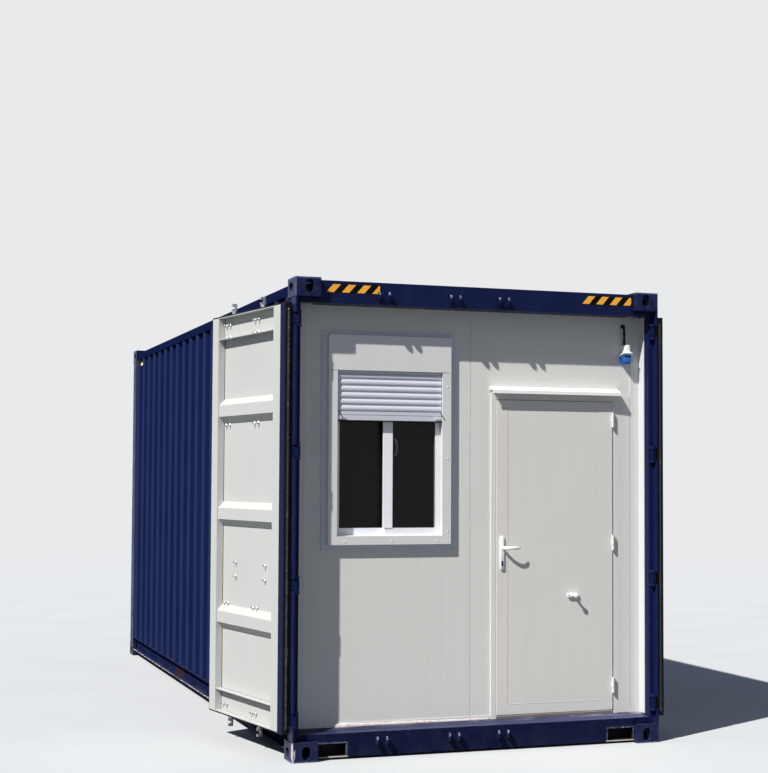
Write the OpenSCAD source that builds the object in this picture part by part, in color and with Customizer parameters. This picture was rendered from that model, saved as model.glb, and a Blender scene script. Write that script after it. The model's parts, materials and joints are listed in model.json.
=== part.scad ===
// Portable site cabin: a high-cube steel container with a cabin wall behind its double doors.
// Millimetres. Origin on the ground under the middle of the plan, doors facing -Y, +Z up.

/* [Overall] */
// Overall width over the corner castings
box_w = 2438; // [2400:1:2500]
// Overall length over the corner castings
box_l = 6058; // [5500:1:6600]
// Overall height over the corner castings
box_h = 2896; // [2800:1:3000]

/* [Corner castings] */
// Casting size across the cabin
cast_w = 162; // [150:1:175]
// Casting size along the cabin
cast_l = 178; // [165:1:190]
// Casting height
cast_h = 118; // [112:1:125]
// Thickness of a casting's outer walls
cast_wall = 28; // [22:1:34]
// Thickness of a casting's inner walls
cast_inner_wall = 12; // [8:1:18]
// Length of the slot in a top or bottom face
slot_l = 124; // [110:1:130]
// Width of the slot in a top or bottom face
slot_w = 63.5; // [55:0.5:70]
// Radius of a casting's outer upright edge
cast_round = 12; // [8:1:16]
// Long size of the holes in the side and end faces
eye_l = 79.5; // [70:0.5:84]
// Short size of the holes in the side and end faces
eye_w = 51; // [45:0.5:58]

/* [Frame] */
// How far the posts and rails stand back from the castings' outer faces
frame_inset = 4; // [2:0.5:8]
// Height of the header over the doors
header_h = 136; // [120:1:180]
// Top of the floor
floor_top = 172; // [160:1:190]
// Underside of the sill
sill_under = 14; // [12:1:30]
// Drop of the sill's front part below the floor
sill_drop = 14; // [8:1:18]
// Set-back of the header and sill behind the castings' end faces
beam_setback = 42; // [40:1:60]
// Plate thickness of the header and sill
beam_wall = 6; // [4:1:8]
// Step from the castings' tops down to the header's top
header_step = 12; // [6:1:20]
// Width of a door post
door_post_w = 43; // [40:1:48]
// Depth of a door post's hollow bar
door_post_d = 60; // [50:1:75]
// Set-back of that bar behind the castings' end faces
door_post_setback = 49; // [47:1:60]
// Plate thickness of a door post
door_post_wall = 8; // [6:1:10]
// Thickness of the outer flange that runs forward beside the hinges
post_flange = 12; // [8:1:14]
// Width of a far post
far_post_w = 110; // [90:1:130]
// Depth of a far post
far_post_d = 150; // [120:1:160]
// Plate thickness of a far post
far_post_wall = 6; // [4:1:10]
// Side of a square top rail
top_rail = 60; // [50:1:70]
// Plate thickness of a top rail
top_rail_wall = 3; // [3:0.5:5]
// Drop of the top rails' tops below the castings' tops
top_rail_drop = 39; // [30:1:50]
// Height of a bottom rail's underside
bottom_rail_under = 58; // [50:1:70]
// Flange width of a bottom rail
bottom_rail_flange = 43; // [35:1:50]
// Plate thickness of a bottom rail
bottom_rail_wall = 5; // [4:0.5:7]

/* [Sheet walls and roof] */
// Thickness of the corrugated sheet
sheet = 2; // [1.6:0.1:3]
// Pitch of the side walls' corrugations
side_pitch = 278; // [240:1:300]
// Depth of the side walls' corrugations
side_depth = 36; // [30:1:40]
// Flat crest of a side corrugation
side_crest = 72; // [60:1:90]
// Run of a side corrugation's slope
side_slope = 68; // [50:1:75]
// Pitch of the far end's corrugations
end_pitch = 250; // [220:1:280]
// Depth of the far end's corrugations
end_depth = 45; // [36:1:50]
// Pitch of the roof's corrugations
roof_pitch = 209; // [180:1:230]
// Depth of the roof's corrugations
roof_depth = 20; // [14:1:24]
// Flat rim of the roof beside its corrugations
roof_rim = 65; // [40:1:90]

/* [Floor and underside] */
// Thickness of the floor deck
deck = 28; // [24:1:32]
// Flange width of a cross member
member_flange = 45; // [40:1:55]
// Plate thickness of a cross member
member_wall = 4; // [3:0.5:6]
// Spacing of the cross members
member_pitch = 300; // [260:1:340]
// Underside of the cross members
member_under = 22; // [18:1:30]
// Width of the opening in the sill beside a casting
notch_w = 180; // [140:1:200]
// Height of that opening
notch_h = 77; // [60:1:90]
// Height of that opening's lower edge
notch_z = 20; // [18:1:34]
// Depth of the box behind that opening
notch_d = 100; // [80:1:120]

/* [Lining] */
// Thickness of the lining panels
lining = 50; // [40:1:60]
// Gap between the sheet walls and the lining
lining_gap = 3; // [2:1:8]
// Drop of the ceiling's underside below the top rails
ceiling_drop = 97; // [60:1:160]

/* [Cabin wall] */
// Front plane of the cabin wall behind the castings' end faces
recess = 185; // [178:1:220]
// Thickness of the cabin wall
wall_t = 60; // [50:1:80]
// Gap between the cabin wall's edges and the door posts' inner planes
wall_edge_gap = 2; // [1:0.5:5]
// Thickness of the cover trims on the wall
trim_t = 4; // [3:1:6]
// Width of the cover trims at the wall's sides
trim_w = 66; // [50:1:80]
// Height of the cover trim at the wall's foot
base_trim_h = 22; // [15:1:35]
// Vertical joint between the wall's left and right panels
wall_joint_x = -20; // [-60:1:20]
// Width and depth of that joint
wall_joint = 3; // [2:0.5:5]
// Thickness of the reveal strips between posts and wall
reveal_t = 5; // [3:1:6]

/* [Window] */
// Middle of the window, as a share of the wall's half width, to the left
window_share = 0.482; // [0.4:0.001:0.55]
// Width of the shutter cassette
window_w = 800; // [760:1:830]
// Gap from the shutter cassette's top to the header's underside
window_drop = 180; // [120:1:240]
// Height of the shutter cassette
window_h = 1290; // [1240:1:1320]
// How far the cassette stands out of the wall
cassette_out = 38; // [38:1:60]
// Height of the shutter's roller box
shutter_box_h = 219; // [190:1:240]
// Depth of the shutter's roller box
shutter_box_d = 172; // [165:1:200]
// Face width of a guide rail
guide_w = 57; // [45:1:65]
// Depth of a guide rail
guide_d = 38; // [36:1:38]
// Height of the cassette's foot rail
foot_rail_h = 53; // [40:1:60]
// Width of the thin frame around the cassette
surround_w = 36; // [28:1:45]
// Thickness of that frame
surround_t = 10; // [6:1:14]
// Thickness of the slats
slat_t = 10; // [8:1:14]
// Pitch of the slats
slat_pitch = 40; // [36:1:44]
// Number of slats between the end bar and the roll
slat_count = 9; // [6:1:14]
// Height of the shutter's end bar
end_bar_h = 54; // [40:1:60]
// How far the curtain hangs below the roller box
curtain_drop = 306; // [60:1:960]
// Radius of the rolled-up part of the curtain
roll_r = 72; // [50:1:78]
// Depth of the window frame
window_frame_d = 64; // [58:1:75]
// Face width of the window frame
window_frame_w = 32; // [28:1:40]
// Face width of a sash bar
sash_w = 45; // [38:1:52]
// Depth of a sash
sash_d = 26; // [22:1:28]
// Thickness of a sealed pane
glass_t = 14; // [12:1:20]

/* [Entrance door] */
// Distance of the leaf's hinge edge from the cabin wall's right edge
leaf_side = 202; // [190:1:230]
// Width of the door leaf
leaf_w = 812; // [780:1:830]
// Foot of the door leaf
leaf_foot = 197; // [190:1:205]
// Height of the door leaf
leaf_h = 1990; // [1880:1:2040]
// Thickness of the door leaf
leaf_t = 44; // [40:1:50]
// Gap between the leaf and its frame
leaf_gap = 6; // [5:0.5:8]
// How far the leaf's outer face stands out of the wall
leaf_out = 14; // [12:1:20]
// Face width of the door frame's posts
door_frame_w = 30; // [26:1:40]
// Face height of the door frame's head
door_frame_head = 40; // [34:1:60]
// How far the door frame stands out of the wall
door_frame_out = 8; // [2:1:9]
// Width of the leaf's lock stile
stile_w = 76; // [65:1:95]
// Width of the groove that outlines the leaf's panel
groove_w = 4; // [3:1:6]
// Depth of that groove
groove_d = 4; // [2:1:6]
// Distance of that groove from the leaf's foot and top
panel_inset = 62; // [50:1:80]
// Height of the lowest hinge above the leaf's foot
low_hinge = 157; // [130:1:200]
// Height of the middle hinge, as a share of the leaf's height
mid_hinge = 0.542; // [0.45:0.001:0.6]
// Drop of the highest hinge below the leaf's top
high_hinge = 113; // [90:1:200]
// Height of the lever's spindle
lever_z = 1248; // [1150:1:1300]
// Length of the lever from its spindle
lever_l = 118; // [100:1:130]
// Length of the backplate
backplate_h = 212; // [180:1:240]
// Width of the backplate
backplate_w = 34; // [30:1:40]
// Thickness of the backplate
backplate_t = 9; // [6:1:12]
// Radius of a hinge barrel
barrel_r = 8; // [7:0.5:9]
// Height of a hinge
barrel_h = 96; // [80:1:110]
// How far the rain canopy stands out of the wall
canopy_out = 61; // [50:1:74]
// Height of the canopy's rear edge above the door frame
canopy_rise = 41; // [28:1:60]
// Height of the canopy's front lip
canopy_lip = 21; // [10:1:24]
// Height of the canopy's fixing flange on the wall
canopy_flange = 24; // [16:1:26]
// How far the canopy reaches past the door frame at each end
canopy_past = 8; // [0:1:20]
// Drop of the canopy's top towards its front edge
canopy_drop = 24; // [15:1:40]
// Thickness of the canopy's sheet
canopy_t = 5; // [3:1:8]

/* [Power inlet] */
// Distance of the inlet's middle from the cabin wall's right edge
inlet_side = 111; // [104:1:120]
// Drop of the seam between hood and socket body below the header's underside
inlet_drop = 248; // [200:1:280]
// Width of the hood's foot
hood_w = 72; // [64:1:80]
// Width of the hood's top
hood_top_w = 32; // [26:1:40]
// Height of the hood
hood_h = 66; // [50:1:80]
// Height of the socket body
socket_h = 60; // [50:1:70]
// Height of the cable's wall outlet above the seam
cable_rise = 190; // [120:1:210]
// How far the inlet stands out of the wall
inlet_out = 60; // [54:1:66]
// Diameter of the supply cable
cable_d = 16; // [10:1:18]

/* [Container doors] */
// Distance of a hinge pin from the castings' side faces
pin_side = 29; // [27:0.5:32]
// Distance of a hinge pin from the castings' end faces
pin_front = 24; // [22:0.5:26]
// Radius of a hinge pin
pin_r = 9; // [7:0.5:10]
// Clearance around a hinge pin
pin_clear = 0.4; // [0.3:0.1:0.8]
// Thickness of a door leaf
door_t = 50; // [46:1:55]
// Outer face of a closed leaf behind the hinge pins
door_face = 27; // [26:0.5:32]
// Edge of a closed leaf beside the hinge pins
door_edge = 30; // [29:0.5:36]
// Gap from a leaf's steel to the cabin's middle plane
door_meet = 14; // [12:1:18]
// Gap around a leaf's steel at the header and sill
door_edge_gap = 15; // [12:1:18]
// Thickness of the seal on a leaf's edges
seal_t = 9; // [5:0.5:10]
// Thickness of the seal beside the hinges
seal_hinge_t = 5; // [4:0.5:7]
// Angle of the folded-back leaves from closed
fold_angle = 260; // [240:1:265]
// Width of the stile beside the hinges
hinge_stile_w = 167; // [140:1:180]
// Width of the stile at the meeting edge
meeting_stile_w = 100; // [80:1:120]
// Height of the leaf's top and bottom channels
door_channel_h = 146; // [120:1:165]
// Plate thickness of a leaf's frame
door_wall = 4; // [3:0.5:5]
// Number of ribs pressed into a leaf's panel
rib_count = 3; // [2:1:4]
// Spacing of the ribs
rib_pitch = 668; // [400:1:700]
// Flat face of a rib
rib_face = 73; // [60:1:90]
// Run of a rib's slope
rib_slope = 42; // [30:1:50]
// Depth of a rib
rib_depth = 40; // [30:1:44]
// Height of the lowest hinge above the leaf's foot
hinge_low = 77; // [65:1:90]
// Drop of the highest hinge below the leaf's top
hinge_high = 88; // [75:1:100]
// Half height of a hinge blade
blade_half = 32; // [28:1:36]
// Clearance above and below a hinge blade
blade_gap = 5; // [5:0.5:8]
// Thickness of a hinge lug
lug_t = 14; // [10:1:18]
// Thickness of a hinge blade
blade_t = 14; // [10:1:16]
// Length of a hinge blade's foot on the leaf
blade_foot = 56; // [40:1:70]
// Steel left around the pin in lugs and blades
nose = 7; // [6:0.5:9]
// Distance of the left leaf's outer lock rod from the cabin's middle
rod_outer = 650; // [560:1:700]
// Distance of the left leaf's inner lock rod from the cabin's middle
rod_inner = 185; // [150:1:260]
// Distance of the right leaf's lock rod from the cabin's middle
rod_right = 142; // [120:1:260]
// Diameter of a lock rod
rod_d = 34; // [30:1:38]
// Width of a rod bracket
bracket_w = 90; // [70:1:110]
// Height of a rod bracket
bracket_h = 44; // [30:1:60]
// Distance of the end brackets from the leaf's foot and top
bracket_end = 50; // [40:1:80]
// Distance of the middle brackets from the leaf's mid height
bracket_mid = 577; // [400:1:700]
// Half thickness of a cam
cam_half = 9; // [7:1:12]
// Height of a cam
cam_h = 52; // [44:1:58]
// Reach of a cam's two claws from the rod's middle towards the cabin
cam_reach = 18; // [15:1:19]
// Length of a rod handle from its rod
handle_l = 262; // [200:1:320]
// Height of a rod handle
handle_h = 30; // [20:1:36]
// Thickness of a rod handle
handle_t = 12; // [8:1:16]
// Height of the handles above the ground
handle_z = 1100; // [900:1:1300]
// Distance from a rod to its handle's catch
catch_x = 120; // [110:1:220]
// Width of a handle's catch
catch_w = 60; // [40:1:80]
// Height of a handle's catch
catch_h = 110; // [80:1:140]
// Height of the upper keepers above the header's underside
keeper_up = 52; // [40:1:70]
// Depth of the lower keepers below the sill's top
keeper_down = 70; // [60:1:80]
// Reach of a keeper lug out of its beam
keeper_reach = 38; // [30:1:40]
// Height of a keeper lug
keeper_h = 52; // [40:1:60]
// Half gap between a keeper's two lugs
keeper_half_gap = 26; // [25:1:30]
// Thickness of a keeper lug
keeper_t = 10; // [8:1:12]

/* [Hidden] */
$fn = 32;

hx = box_w / 2;
hy = box_l / 2;
over = 1;
steel = "#1b2450";
white = "#e8e8e6";
rod_grey = "#9a9c9e";
wall_white = "#cfcec9";

// Frame lines
frame_x = hx - frame_inset;
post_z0 = cast_h;
post_z1 = box_h - cast_h;
header_top = box_h - header_step;
header_under = header_top - header_h;
top_rail_top = box_h - top_rail_drop;
beam_y = -hy + beam_setback;
wall_y = -hy + recess;
wall_back = wall_y + wall_t;
door_post_y = -hy + door_post_setback;
door_post_back = door_post_y + door_post_d;
door_post_in = frame_x - door_post_w;
cast_back = -hy + cast_l;
cast_in = hx - cast_w;
far_post_y = hy - frame_inset - far_post_d;
far_post_in = frame_x - far_post_w;
top_rail_in = frame_x - top_rail;
wall_top = top_rail_top - top_rail;
ceiling_z = wall_top - ceiling_drop;
wall_half = door_post_in - wall_edge_gap;
bottom_rail_in = frame_x - bottom_rail_flange;
member_top = floor_top - deck;

// Hinge pins and leaves of the container doors
pin_x = hx - pin_side;
pin_y = -hy + pin_front;
door_front = pin_y + door_face;
door_back = door_front + door_t;
door_x1 = pin_x - door_edge;
sill_top = floor_top - sill_drop;
door_z0 = sill_top + door_edge_gap;
door_z1 = header_under - door_edge_gap;
hinge_step = (door_z1 - hinge_high - door_z0 - hinge_low) / 3;
hinge_z = [for (i = [0:3]) door_z0 + hinge_low + i * hinge_step];
door_mid_z = (door_z0 + door_z1) / 2;
rod_front_gap = 1;
rod_y = -hy + rod_front_gap + rod_d / 2;
left_rods = [rod_outer, rod_inner];
right_rods = [rod_right];
keeper_top_z = header_under + keeper_up;
keeper_low_z = floor_top - keeper_down;
run_gap = 0.3;

// Window
window_left = -window_share * wall_half - window_w / 2;
window_right = window_left + window_w;
window_top = header_under - window_drop;
window_foot = window_top - window_h;
guide_front = wall_y - cassette_out;
box_foot = window_top - shutter_box_h;
curtain_foot = box_foot - curtain_drop;
hole_left = window_left + 14;
hole_right = window_right - 14;
hole_foot = window_foot + 24;
hole_top = window_top - 20;
frame_front = guide_front + guide_d;
frame_back = frame_front + window_frame_d;
light_left = hole_left + window_frame_w;
light_right = hole_right - window_frame_w;
light_foot = hole_foot + window_frame_w;
light_top = box_foot;
mullion_x = (light_left + light_right) / 2;

// Entrance door
leaf_right = wall_half - leaf_side;
leaf_left = leaf_right - leaf_w;
leaf_top = leaf_foot + leaf_h;
leaf_front = wall_y - leaf_out;
leaf_back = leaf_front + leaf_t;
door_in_l = leaf_left - leaf_gap;
door_in_r = leaf_right + leaf_gap;
door_in_t = leaf_top + leaf_gap;
door_out_l = door_in_l - door_frame_w;
door_out_r = door_in_r + door_frame_w;
door_out_t = door_in_t + door_frame_head;
barrel_x = leaf_right + leaf_gap / 2;
barrel_y = leaf_front - barrel_r;
barrel_z = [leaf_foot + low_hinge, leaf_foot + mid_hinge * leaf_h, leaf_top - high_hinge];
lever_x = leaf_left + stile_w / 2 - 1;
lever_y = leaf_front - backplate_t;
lever_reach = 48;
threshold_top = leaf_foot - leaf_gap;
inlet_x = wall_half - inlet_side;
inlet_z = header_under - inlet_drop;
inlet_body = inlet_out - 16;
ear_x = hood_w / 2 - 11;
outlet_x = inlet_x - 9;

// A box from its two opposite corners
module span(x, y, z) {
    translate([x[0], y[0], z[0]]) cube([x[1] - x[0], y[1] - y[0], z[1] - z[0]]);
}

// The same on both sides of the cabin's middle plane
module both_sides() {
    for (s = [0, 1]) mirror([s, 0, 0]) children();
}

// A flat slot with round ends, long along X, pushed through by h
module slot_hole(long, wide, h) {
    r = wide / 2;
    for (s = [-1, 1]) translate([s * (long / 2 - r), 0, 0]) cylinder(r = r, h = h, center = true);
    cube([long - wide, wide, h], center = true);
}

// One casting, its outer corner at the origin, its slot in the underside
module casting() {
    slot_x = 89.5;
    slot_y = 102.5;
    end_z = 54;
    difference() {
        cube([cast_w, cast_l, cast_h]);
        translate([cast_wall, cast_wall, cast_wall])
            cube([cast_w - cast_wall - cast_inner_wall, cast_l - cast_wall - cast_inner_wall,
                cast_h - cast_wall - cast_inner_wall]);
        translate([slot_x, slot_y, 0]) rotate([0, 0, 90]) slot_hole(slot_l, slot_w, 2 * cast_wall + over);
        translate([slot_x, 0, end_z]) rotate([90, 90, 0]) slot_hole(eye_l, eye_w, 2 * cast_wall + over);
        translate([0, slot_y, end_z]) rotate([90, 0, 90]) slot_hole(eye_l, eye_w, 2 * cast_wall + over);
        difference() {
            translate([-over, -over, -over])
                cube([cast_round + over, cast_round + over, cast_h + 2 * over]);
            translate([cast_round, cast_round, -2 * over]) cylinder(r = cast_round, h = cast_h + 4 * over);
        }
    }
}

module corner_castings() {
    color(steel) for (sx = [0, 1], sy = [0, 1], sz = [0, 1])
        mirror([sx, 0, 0]) mirror([0, sy, 0]) translate([-hx, -hy, sz * box_h])
            mirror([0, 0, sz]) casting();
}

// Room that the castings take, cut out of rails and walls that run up to them
module casting_room() {
    for (sy = [0, 1], sz = [0, 1]) both_sides() mirror([0, sy, 0])
        translate([cast_in, -hy - over, sz * (box_h + 2 * over) - over])
            mirror([0, 0, sz]) cube([cast_w + over, cast_l + over, cast_h + over]);
}

// Plan of a door post: a hollow bar with a flange running forward on its outer side
module post_plan() {
    translate([door_post_in, door_post_y]) square([door_post_w, door_post_d]);
    translate([frame_x - post_flange, -hy + 2]) square([post_flange, door_post_setback]);
}

// Plan of a hinge lug: a round nose at the pin on a foot at the bar
module lug_plan() {
    translate([pin_x, pin_y]) circle(r = pin_r + nose + 1);
    translate([pin_x - pin_r - nose - 1, pin_y]) square([2 * (pin_r + nose + 1), door_post_y - pin_y]);
}

module door_post() {
    pocket_x = pin_x + 6;
    solid_half = blade_half + blade_gap + lug_t;
    levels = concat([post_z0 + door_post_wall], [for (z = hinge_z) each [z - solid_half, z + solid_half]],
        [post_z1 - door_post_wall]);
    difference() {
        translate([0, 0, post_z0]) linear_extrude(post_z1 - post_z0) post_plan();
        for (i = [0:2:len(levels) - 1])
            span([door_post_in + door_post_wall, frame_x - door_post_wall],
                [door_post_y + door_post_wall, door_post_back - door_post_wall],
                [levels[i], levels[i + 1]]);
        for (z = hinge_z)
            span([pocket_x, frame_x + over], [-hy - over, door_post_back + over],
                [z - blade_half - blade_gap, z + blade_half + blade_gap]);
    }
    for (z = hinge_z) {
        for (s = [0, 1]) translate([0, 0, z]) mirror([0, 0, s])
            translate([0, 0, blade_half + blade_gap]) linear_extrude(lug_t) lug_plan();
        translate([pin_x, pin_y, z - blade_half - blade_gap - over])
            cylinder(r = pin_r, h = 2 * (blade_half + blade_gap + over));
    }
}

module door_posts() {
    color(steel) both_sides() door_post();
}

// A rectangular tube along X, its bore closed by plates at the ends
module beam(x, y, z, t) {
    difference() {
        span(x, y, z);
        span([x[0] + t, x[1] - t], [y[0] + t, y[1] - t], [z[0] + t, z[1] - t]);
    }
}

module door_header() {
    color(steel) {
        beam([-cast_in, cast_in], [beam_y, wall_y], [header_under, header_top], beam_wall);
        both_sides() span([cast_in, door_post_in], [door_post_y, door_post_back],
            [header_under, post_z1]);
    }
}

module door_sill() {
    ramp_y = door_back + 10;
    box_x = cast_in - notch_w - 2 * beam_wall;
    lid_z = notch_z + notch_h;
    color(steel) difference() {
        union() {
            beam([-cast_in, cast_in], [beam_y, cast_back], [sill_under, sill_top], beam_wall);
            translate([-door_post_in, 0, 0]) rotate([90, 0, 90]) linear_extrude(2 * door_post_in)
                polygon([[ramp_y, sill_top - over], [ramp_y, sill_top], [cast_back - 6, floor_top],
                    [cast_back, floor_top], [cast_back, sill_top - over]]);
            both_sides() {
                span([cast_in, door_post_in], [door_post_y, cast_back], [cast_h, sill_top]);
                span([box_x, box_x + beam_wall], [beam_y + beam_wall - over, beam_y + notch_d],
                    [sill_under + over, sill_top - over]);
                span([box_x, cast_in - beam_wall + over], [beam_y + beam_wall, beam_y + notch_d],
                    [lid_z, lid_z + beam_wall]);
                span([box_x, cast_in - beam_wall + over], [beam_y + notch_d - beam_wall, beam_y + notch_d],
                    [sill_under + over, lid_z + beam_wall]);
            }
        }
        both_sides() span([box_x + beam_wall, cast_in - beam_wall],
            [beam_y - over, beam_y + notch_d - beam_wall], [notch_z, lid_z]);
    }
}

module far_posts() {
    color(steel) both_sides() translate([0, 0, post_z0]) linear_extrude(post_z1 - post_z0)
        difference() {
            translate([far_post_in, far_post_y]) square([far_post_w, far_post_d]);
            translate([far_post_in + far_post_wall, far_post_y + far_post_wall])
                square([far_post_w - 2 * far_post_wall, far_post_d - 2 * far_post_wall]);
        }
}

module far_beams() {
    y = [-cast_back, hy - frame_inset];
    color(steel) {
        beam([-cast_in, cast_in], y, [post_z1, header_top], beam_wall);
        beam([-cast_in, cast_in], y, [sill_under, floor_top], beam_wall);
        both_sides() span([cast_in, far_post_in], y, [cast_h, floor_top]);
    }
}

module top_rails() {
    color(steel) both_sides() difference() {
        span([top_rail_in, frame_x], [cast_back, -cast_back], [wall_top, top_rail_top]);
        span([top_rail_in + top_rail_wall, frame_x - top_rail_wall],
            [cast_back - over, -cast_back + over], [wall_top + top_rail_wall, top_rail_top - top_rail_wall]);
    }
}

module bottom_rails() {
    color(steel) both_sides() difference() {
        span([bottom_rail_in, frame_x], [door_post_back, far_post_y], [bottom_rail_under, floor_top]);
        span([bottom_rail_in + bottom_rail_wall, frame_x + over], [-hy, hy],
            [bottom_rail_under + bottom_rail_wall, floor_top - bottom_rail_wall]);
        casting_room();
    }
}

module cross_members() {
    reach = floor((-cast_back - 60) / member_pitch);
    color(steel) for (i = [-reach:reach])
        translate([-bottom_rail_in, i * member_pitch, 0]) difference() {
            cube_at_member();
            translate([-over, member_wall, member_under + member_wall])
                cube([2 * bottom_rail_in + 2 * over, member_flange,
                    member_top - member_under - 2 * member_wall]);
        }
}

module cube_at_member() {
    translate([0, 0, member_under]) cube([2 * bottom_rail_in, member_flange, member_top - member_under]);
}

module floor_deck() {
    color("#8a6a48") span([-bottom_rail_in, bottom_rail_in], [cast_back, -cast_back],
        [member_top, floor_top]);
}

// Path of one corrugated sheet: n pitches from u0, between levels v0 and v0 - depth
function wave(n, pitch, crest, slope, u0, v0, depth) = [for (i = [0:n - 1]) each [
    [u0 + i * pitch, v0], [u0 + i * pitch + slope, v0 - depth],
    [u0 + (i + 1) * pitch - crest - slope, v0 - depth], [u0 + (i + 1) * pitch - crest, v0]]];

// Outline of the sheet: the path with flat ends, and back along it one sheet thickness deeper
function sheet_outline(path, u0, u1, v0) = let (line = concat([[u0, v0]], path, [[u1, v0]]))
    concat(line, [for (i = [len(line) - 1:-1:0]) line[i] - [0, sheet]]);

module side_wall() {
    run = far_post_y - door_post_back;
    n = floor((run - 160) / side_pitch);
    start = door_post_back + (run - n * side_pitch) / 2 + side_crest / 2;
    outer = frame_x - 2;
    difference() {
        translate([0, 0, floor_top]) linear_extrude(wall_top - floor_top) mirror([0, 0]) polygon([
            for (q = sheet_outline(wave(n, side_pitch, side_crest, side_slope, start, outer, side_depth),
                door_post_back, far_post_y, outer)) [q[1], q[0]]]);
        casting_room();
    }
}

module side_wall_left() {
    color(steel) mirror([1, 0, 0]) side_wall();
}

module side_wall_right() {
    color(steel) side_wall();
}

module far_end_wall() {
    run = 2 * far_post_in;
    n = floor((run - 120) / end_pitch);
    start = -far_post_in + (run - n * end_pitch) / 2 + side_crest / 2;
    outer = hy - frame_inset - 8;
    color(steel) difference() {
        translate([0, 0, floor_top]) linear_extrude(post_z1 - floor_top)
            polygon(sheet_outline(wave(n, end_pitch, side_crest, side_slope - 13, start, outer, end_depth),
                -far_post_in, far_post_in, outer));
        casting_room();
    }
}

module roof_panel() {
    half = frame_x - 25;
    inner = half - roof_rim;
    y0 = wall_y;
    y1 = -cast_back;
    n = floor((y1 - y0 - 80) / roof_pitch);
    start = y0 + (y1 - y0 - n * roof_pitch) / 2;
    crest = roof_pitch * 0.34;
    slope = roof_depth * 1.6;
    low = top_rail_top + sheet;
    line = [for (i = [0:n - 1]) each [
        [start + i * roof_pitch, low], [start + i * roof_pitch + slope, low + roof_depth],
        [start + i * roof_pitch + slope + crest, low + roof_depth],
        [start + i * roof_pitch + 2 * slope + crest, low]]];
    color(steel) {
        translate([-inner, 0, 0]) rotate([90, 0, 90]) linear_extrude(2 * inner)
            polygon(sheet_outline(line, y0, y1, low));
        both_sides() translate([inner - sheet, 0, 0]) rotate([90, 0, 90]) linear_extrude(sheet)
            polygon(concat([[y0, low - sheet]], [[y0, low]], line, [[y1, low], [y1, low - sheet]]));
        both_sides() span([inner - over, half], [y0, y1], [low - sheet, low]);
    }
}

// Outer face of the side linings and front face of the far lining
lining_out = frame_x - 2 - side_depth - sheet - lining_gap;
far_lining_y = far_post_y - lining;

module side_linings() {
    color(white) both_sides() span([lining_out - lining, lining_out], [wall_back, far_lining_y],
        [floor_top, ceiling_z + lining]);
}

module far_lining() {
    color(white) span([-lining_out, lining_out], [far_lining_y, far_post_y],
        [floor_top, ceiling_z + lining]);
}

module ceiling_lining() {
    inner = lining_out - lining;
    color(white) span([-inner, inner], [wall_back, far_lining_y], [ceiling_z, ceiling_z + lining]);
}

// Piece of the cabin wall between x and z limits
module wall_piece(x, z) {
    color(wall_white) span(x, [wall_y, wall_back], z);
}

module front_wall_left() {
    wall_piece([-wall_half, hole_left], [floor_top, wall_top]);
}

module front_wall_at_window() {
    wall_piece([hole_left, hole_right], [floor_top, hole_foot]);
    wall_piece([hole_left, hole_right], [hole_top, wall_top]);
}

module front_wall_middle() {
    difference() {
        wall_piece([hole_right, door_out_l + 6], [floor_top, wall_top]);
        span([wall_joint_x - wall_joint / 2, wall_joint_x + wall_joint / 2],
            [wall_y - over, wall_y + wall_joint], [floor_top - over, wall_top + over]);
    }
}

module front_wall_over_door() {
    wall_piece([door_out_l + 6, door_out_r - 6], [door_out_t - 6, wall_top]);
}

module front_wall_right() {
    color(wall_white) difference() {
        span([door_out_r - 6, wall_half], [wall_y, wall_back], [floor_top, wall_top]);
        translate([outlet_x, wall_y + wall_t / 2, inlet_z + cable_rise]) rotate([90, 0, 0])
            cylinder(r = cable_d / 2 + 5, h = wall_t + 2 * over, center = true);
    }
}

module wall_trims() {
    color(white) {
        both_sides() {
            span([wall_half - trim_w, wall_half], [wall_y - trim_t, wall_y], [floor_top, header_under]);
            span([wall_half - 2, wall_half - 2 + reveal_t], [door_post_back, wall_y - trim_t],
                [floor_top, header_under]);
        }
        span([-wall_half + trim_w, door_out_l], [wall_y - trim_t, wall_y],
            [floor_top, floor_top + base_trim_h]);
        span([door_out_r, wall_half - trim_w], [wall_y - trim_t, wall_y],
            [floor_top, floor_top + base_trim_h]);
    }
}

module window_surround() {
    color(white) difference() {
        span([window_left - surround_w, window_right + surround_w], [wall_y - surround_t, wall_y],
            [window_foot - surround_w, window_top + surround_w - 14]);
        span([window_left, window_right], [wall_y - surround_t - over, wall_y + over],
            [window_foot, window_top]);
    }
}

module window_frame() {
    color(white) difference() {
        span([hole_left, hole_right], [frame_front, frame_back], [hole_foot, box_foot]);
        span([light_left, light_right], [frame_front - over, frame_back + over],
            [light_foot, light_top - window_frame_w]);
    }
}

// A sash and its pane share these limits
sash_x = [[light_left, mullion_x + sash_w / 2], [mullion_x - sash_w / 2, light_right]];
sash_y = [frame_front + 34, frame_front + 6];
sash_z = [light_foot, light_top - window_frame_w];

module window_sashes() {
    color(white) for (i = [0, 1]) difference() {
        span(sash_x[i], [sash_y[i], sash_y[i] + sash_d], sash_z);
        span([sash_x[i][0] + sash_w, sash_x[i][1] - sash_w], [sash_y[i] - over, sash_y[i] + sash_d + over],
            [sash_z[0] + sash_w, sash_z[1] - sash_w]);
    }
}

module window_glass() {
    color("#20262a", 0.5) for (i = [0, 1])
        span([sash_x[i][0] + sash_w, sash_x[i][1] - sash_w],
            [sash_y[i] + (sash_d - glass_t) / 2, sash_y[i] + (sash_d + glass_t) / 2],
            [sash_z[0] + sash_w, sash_z[1] - sash_w]);
}

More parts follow.
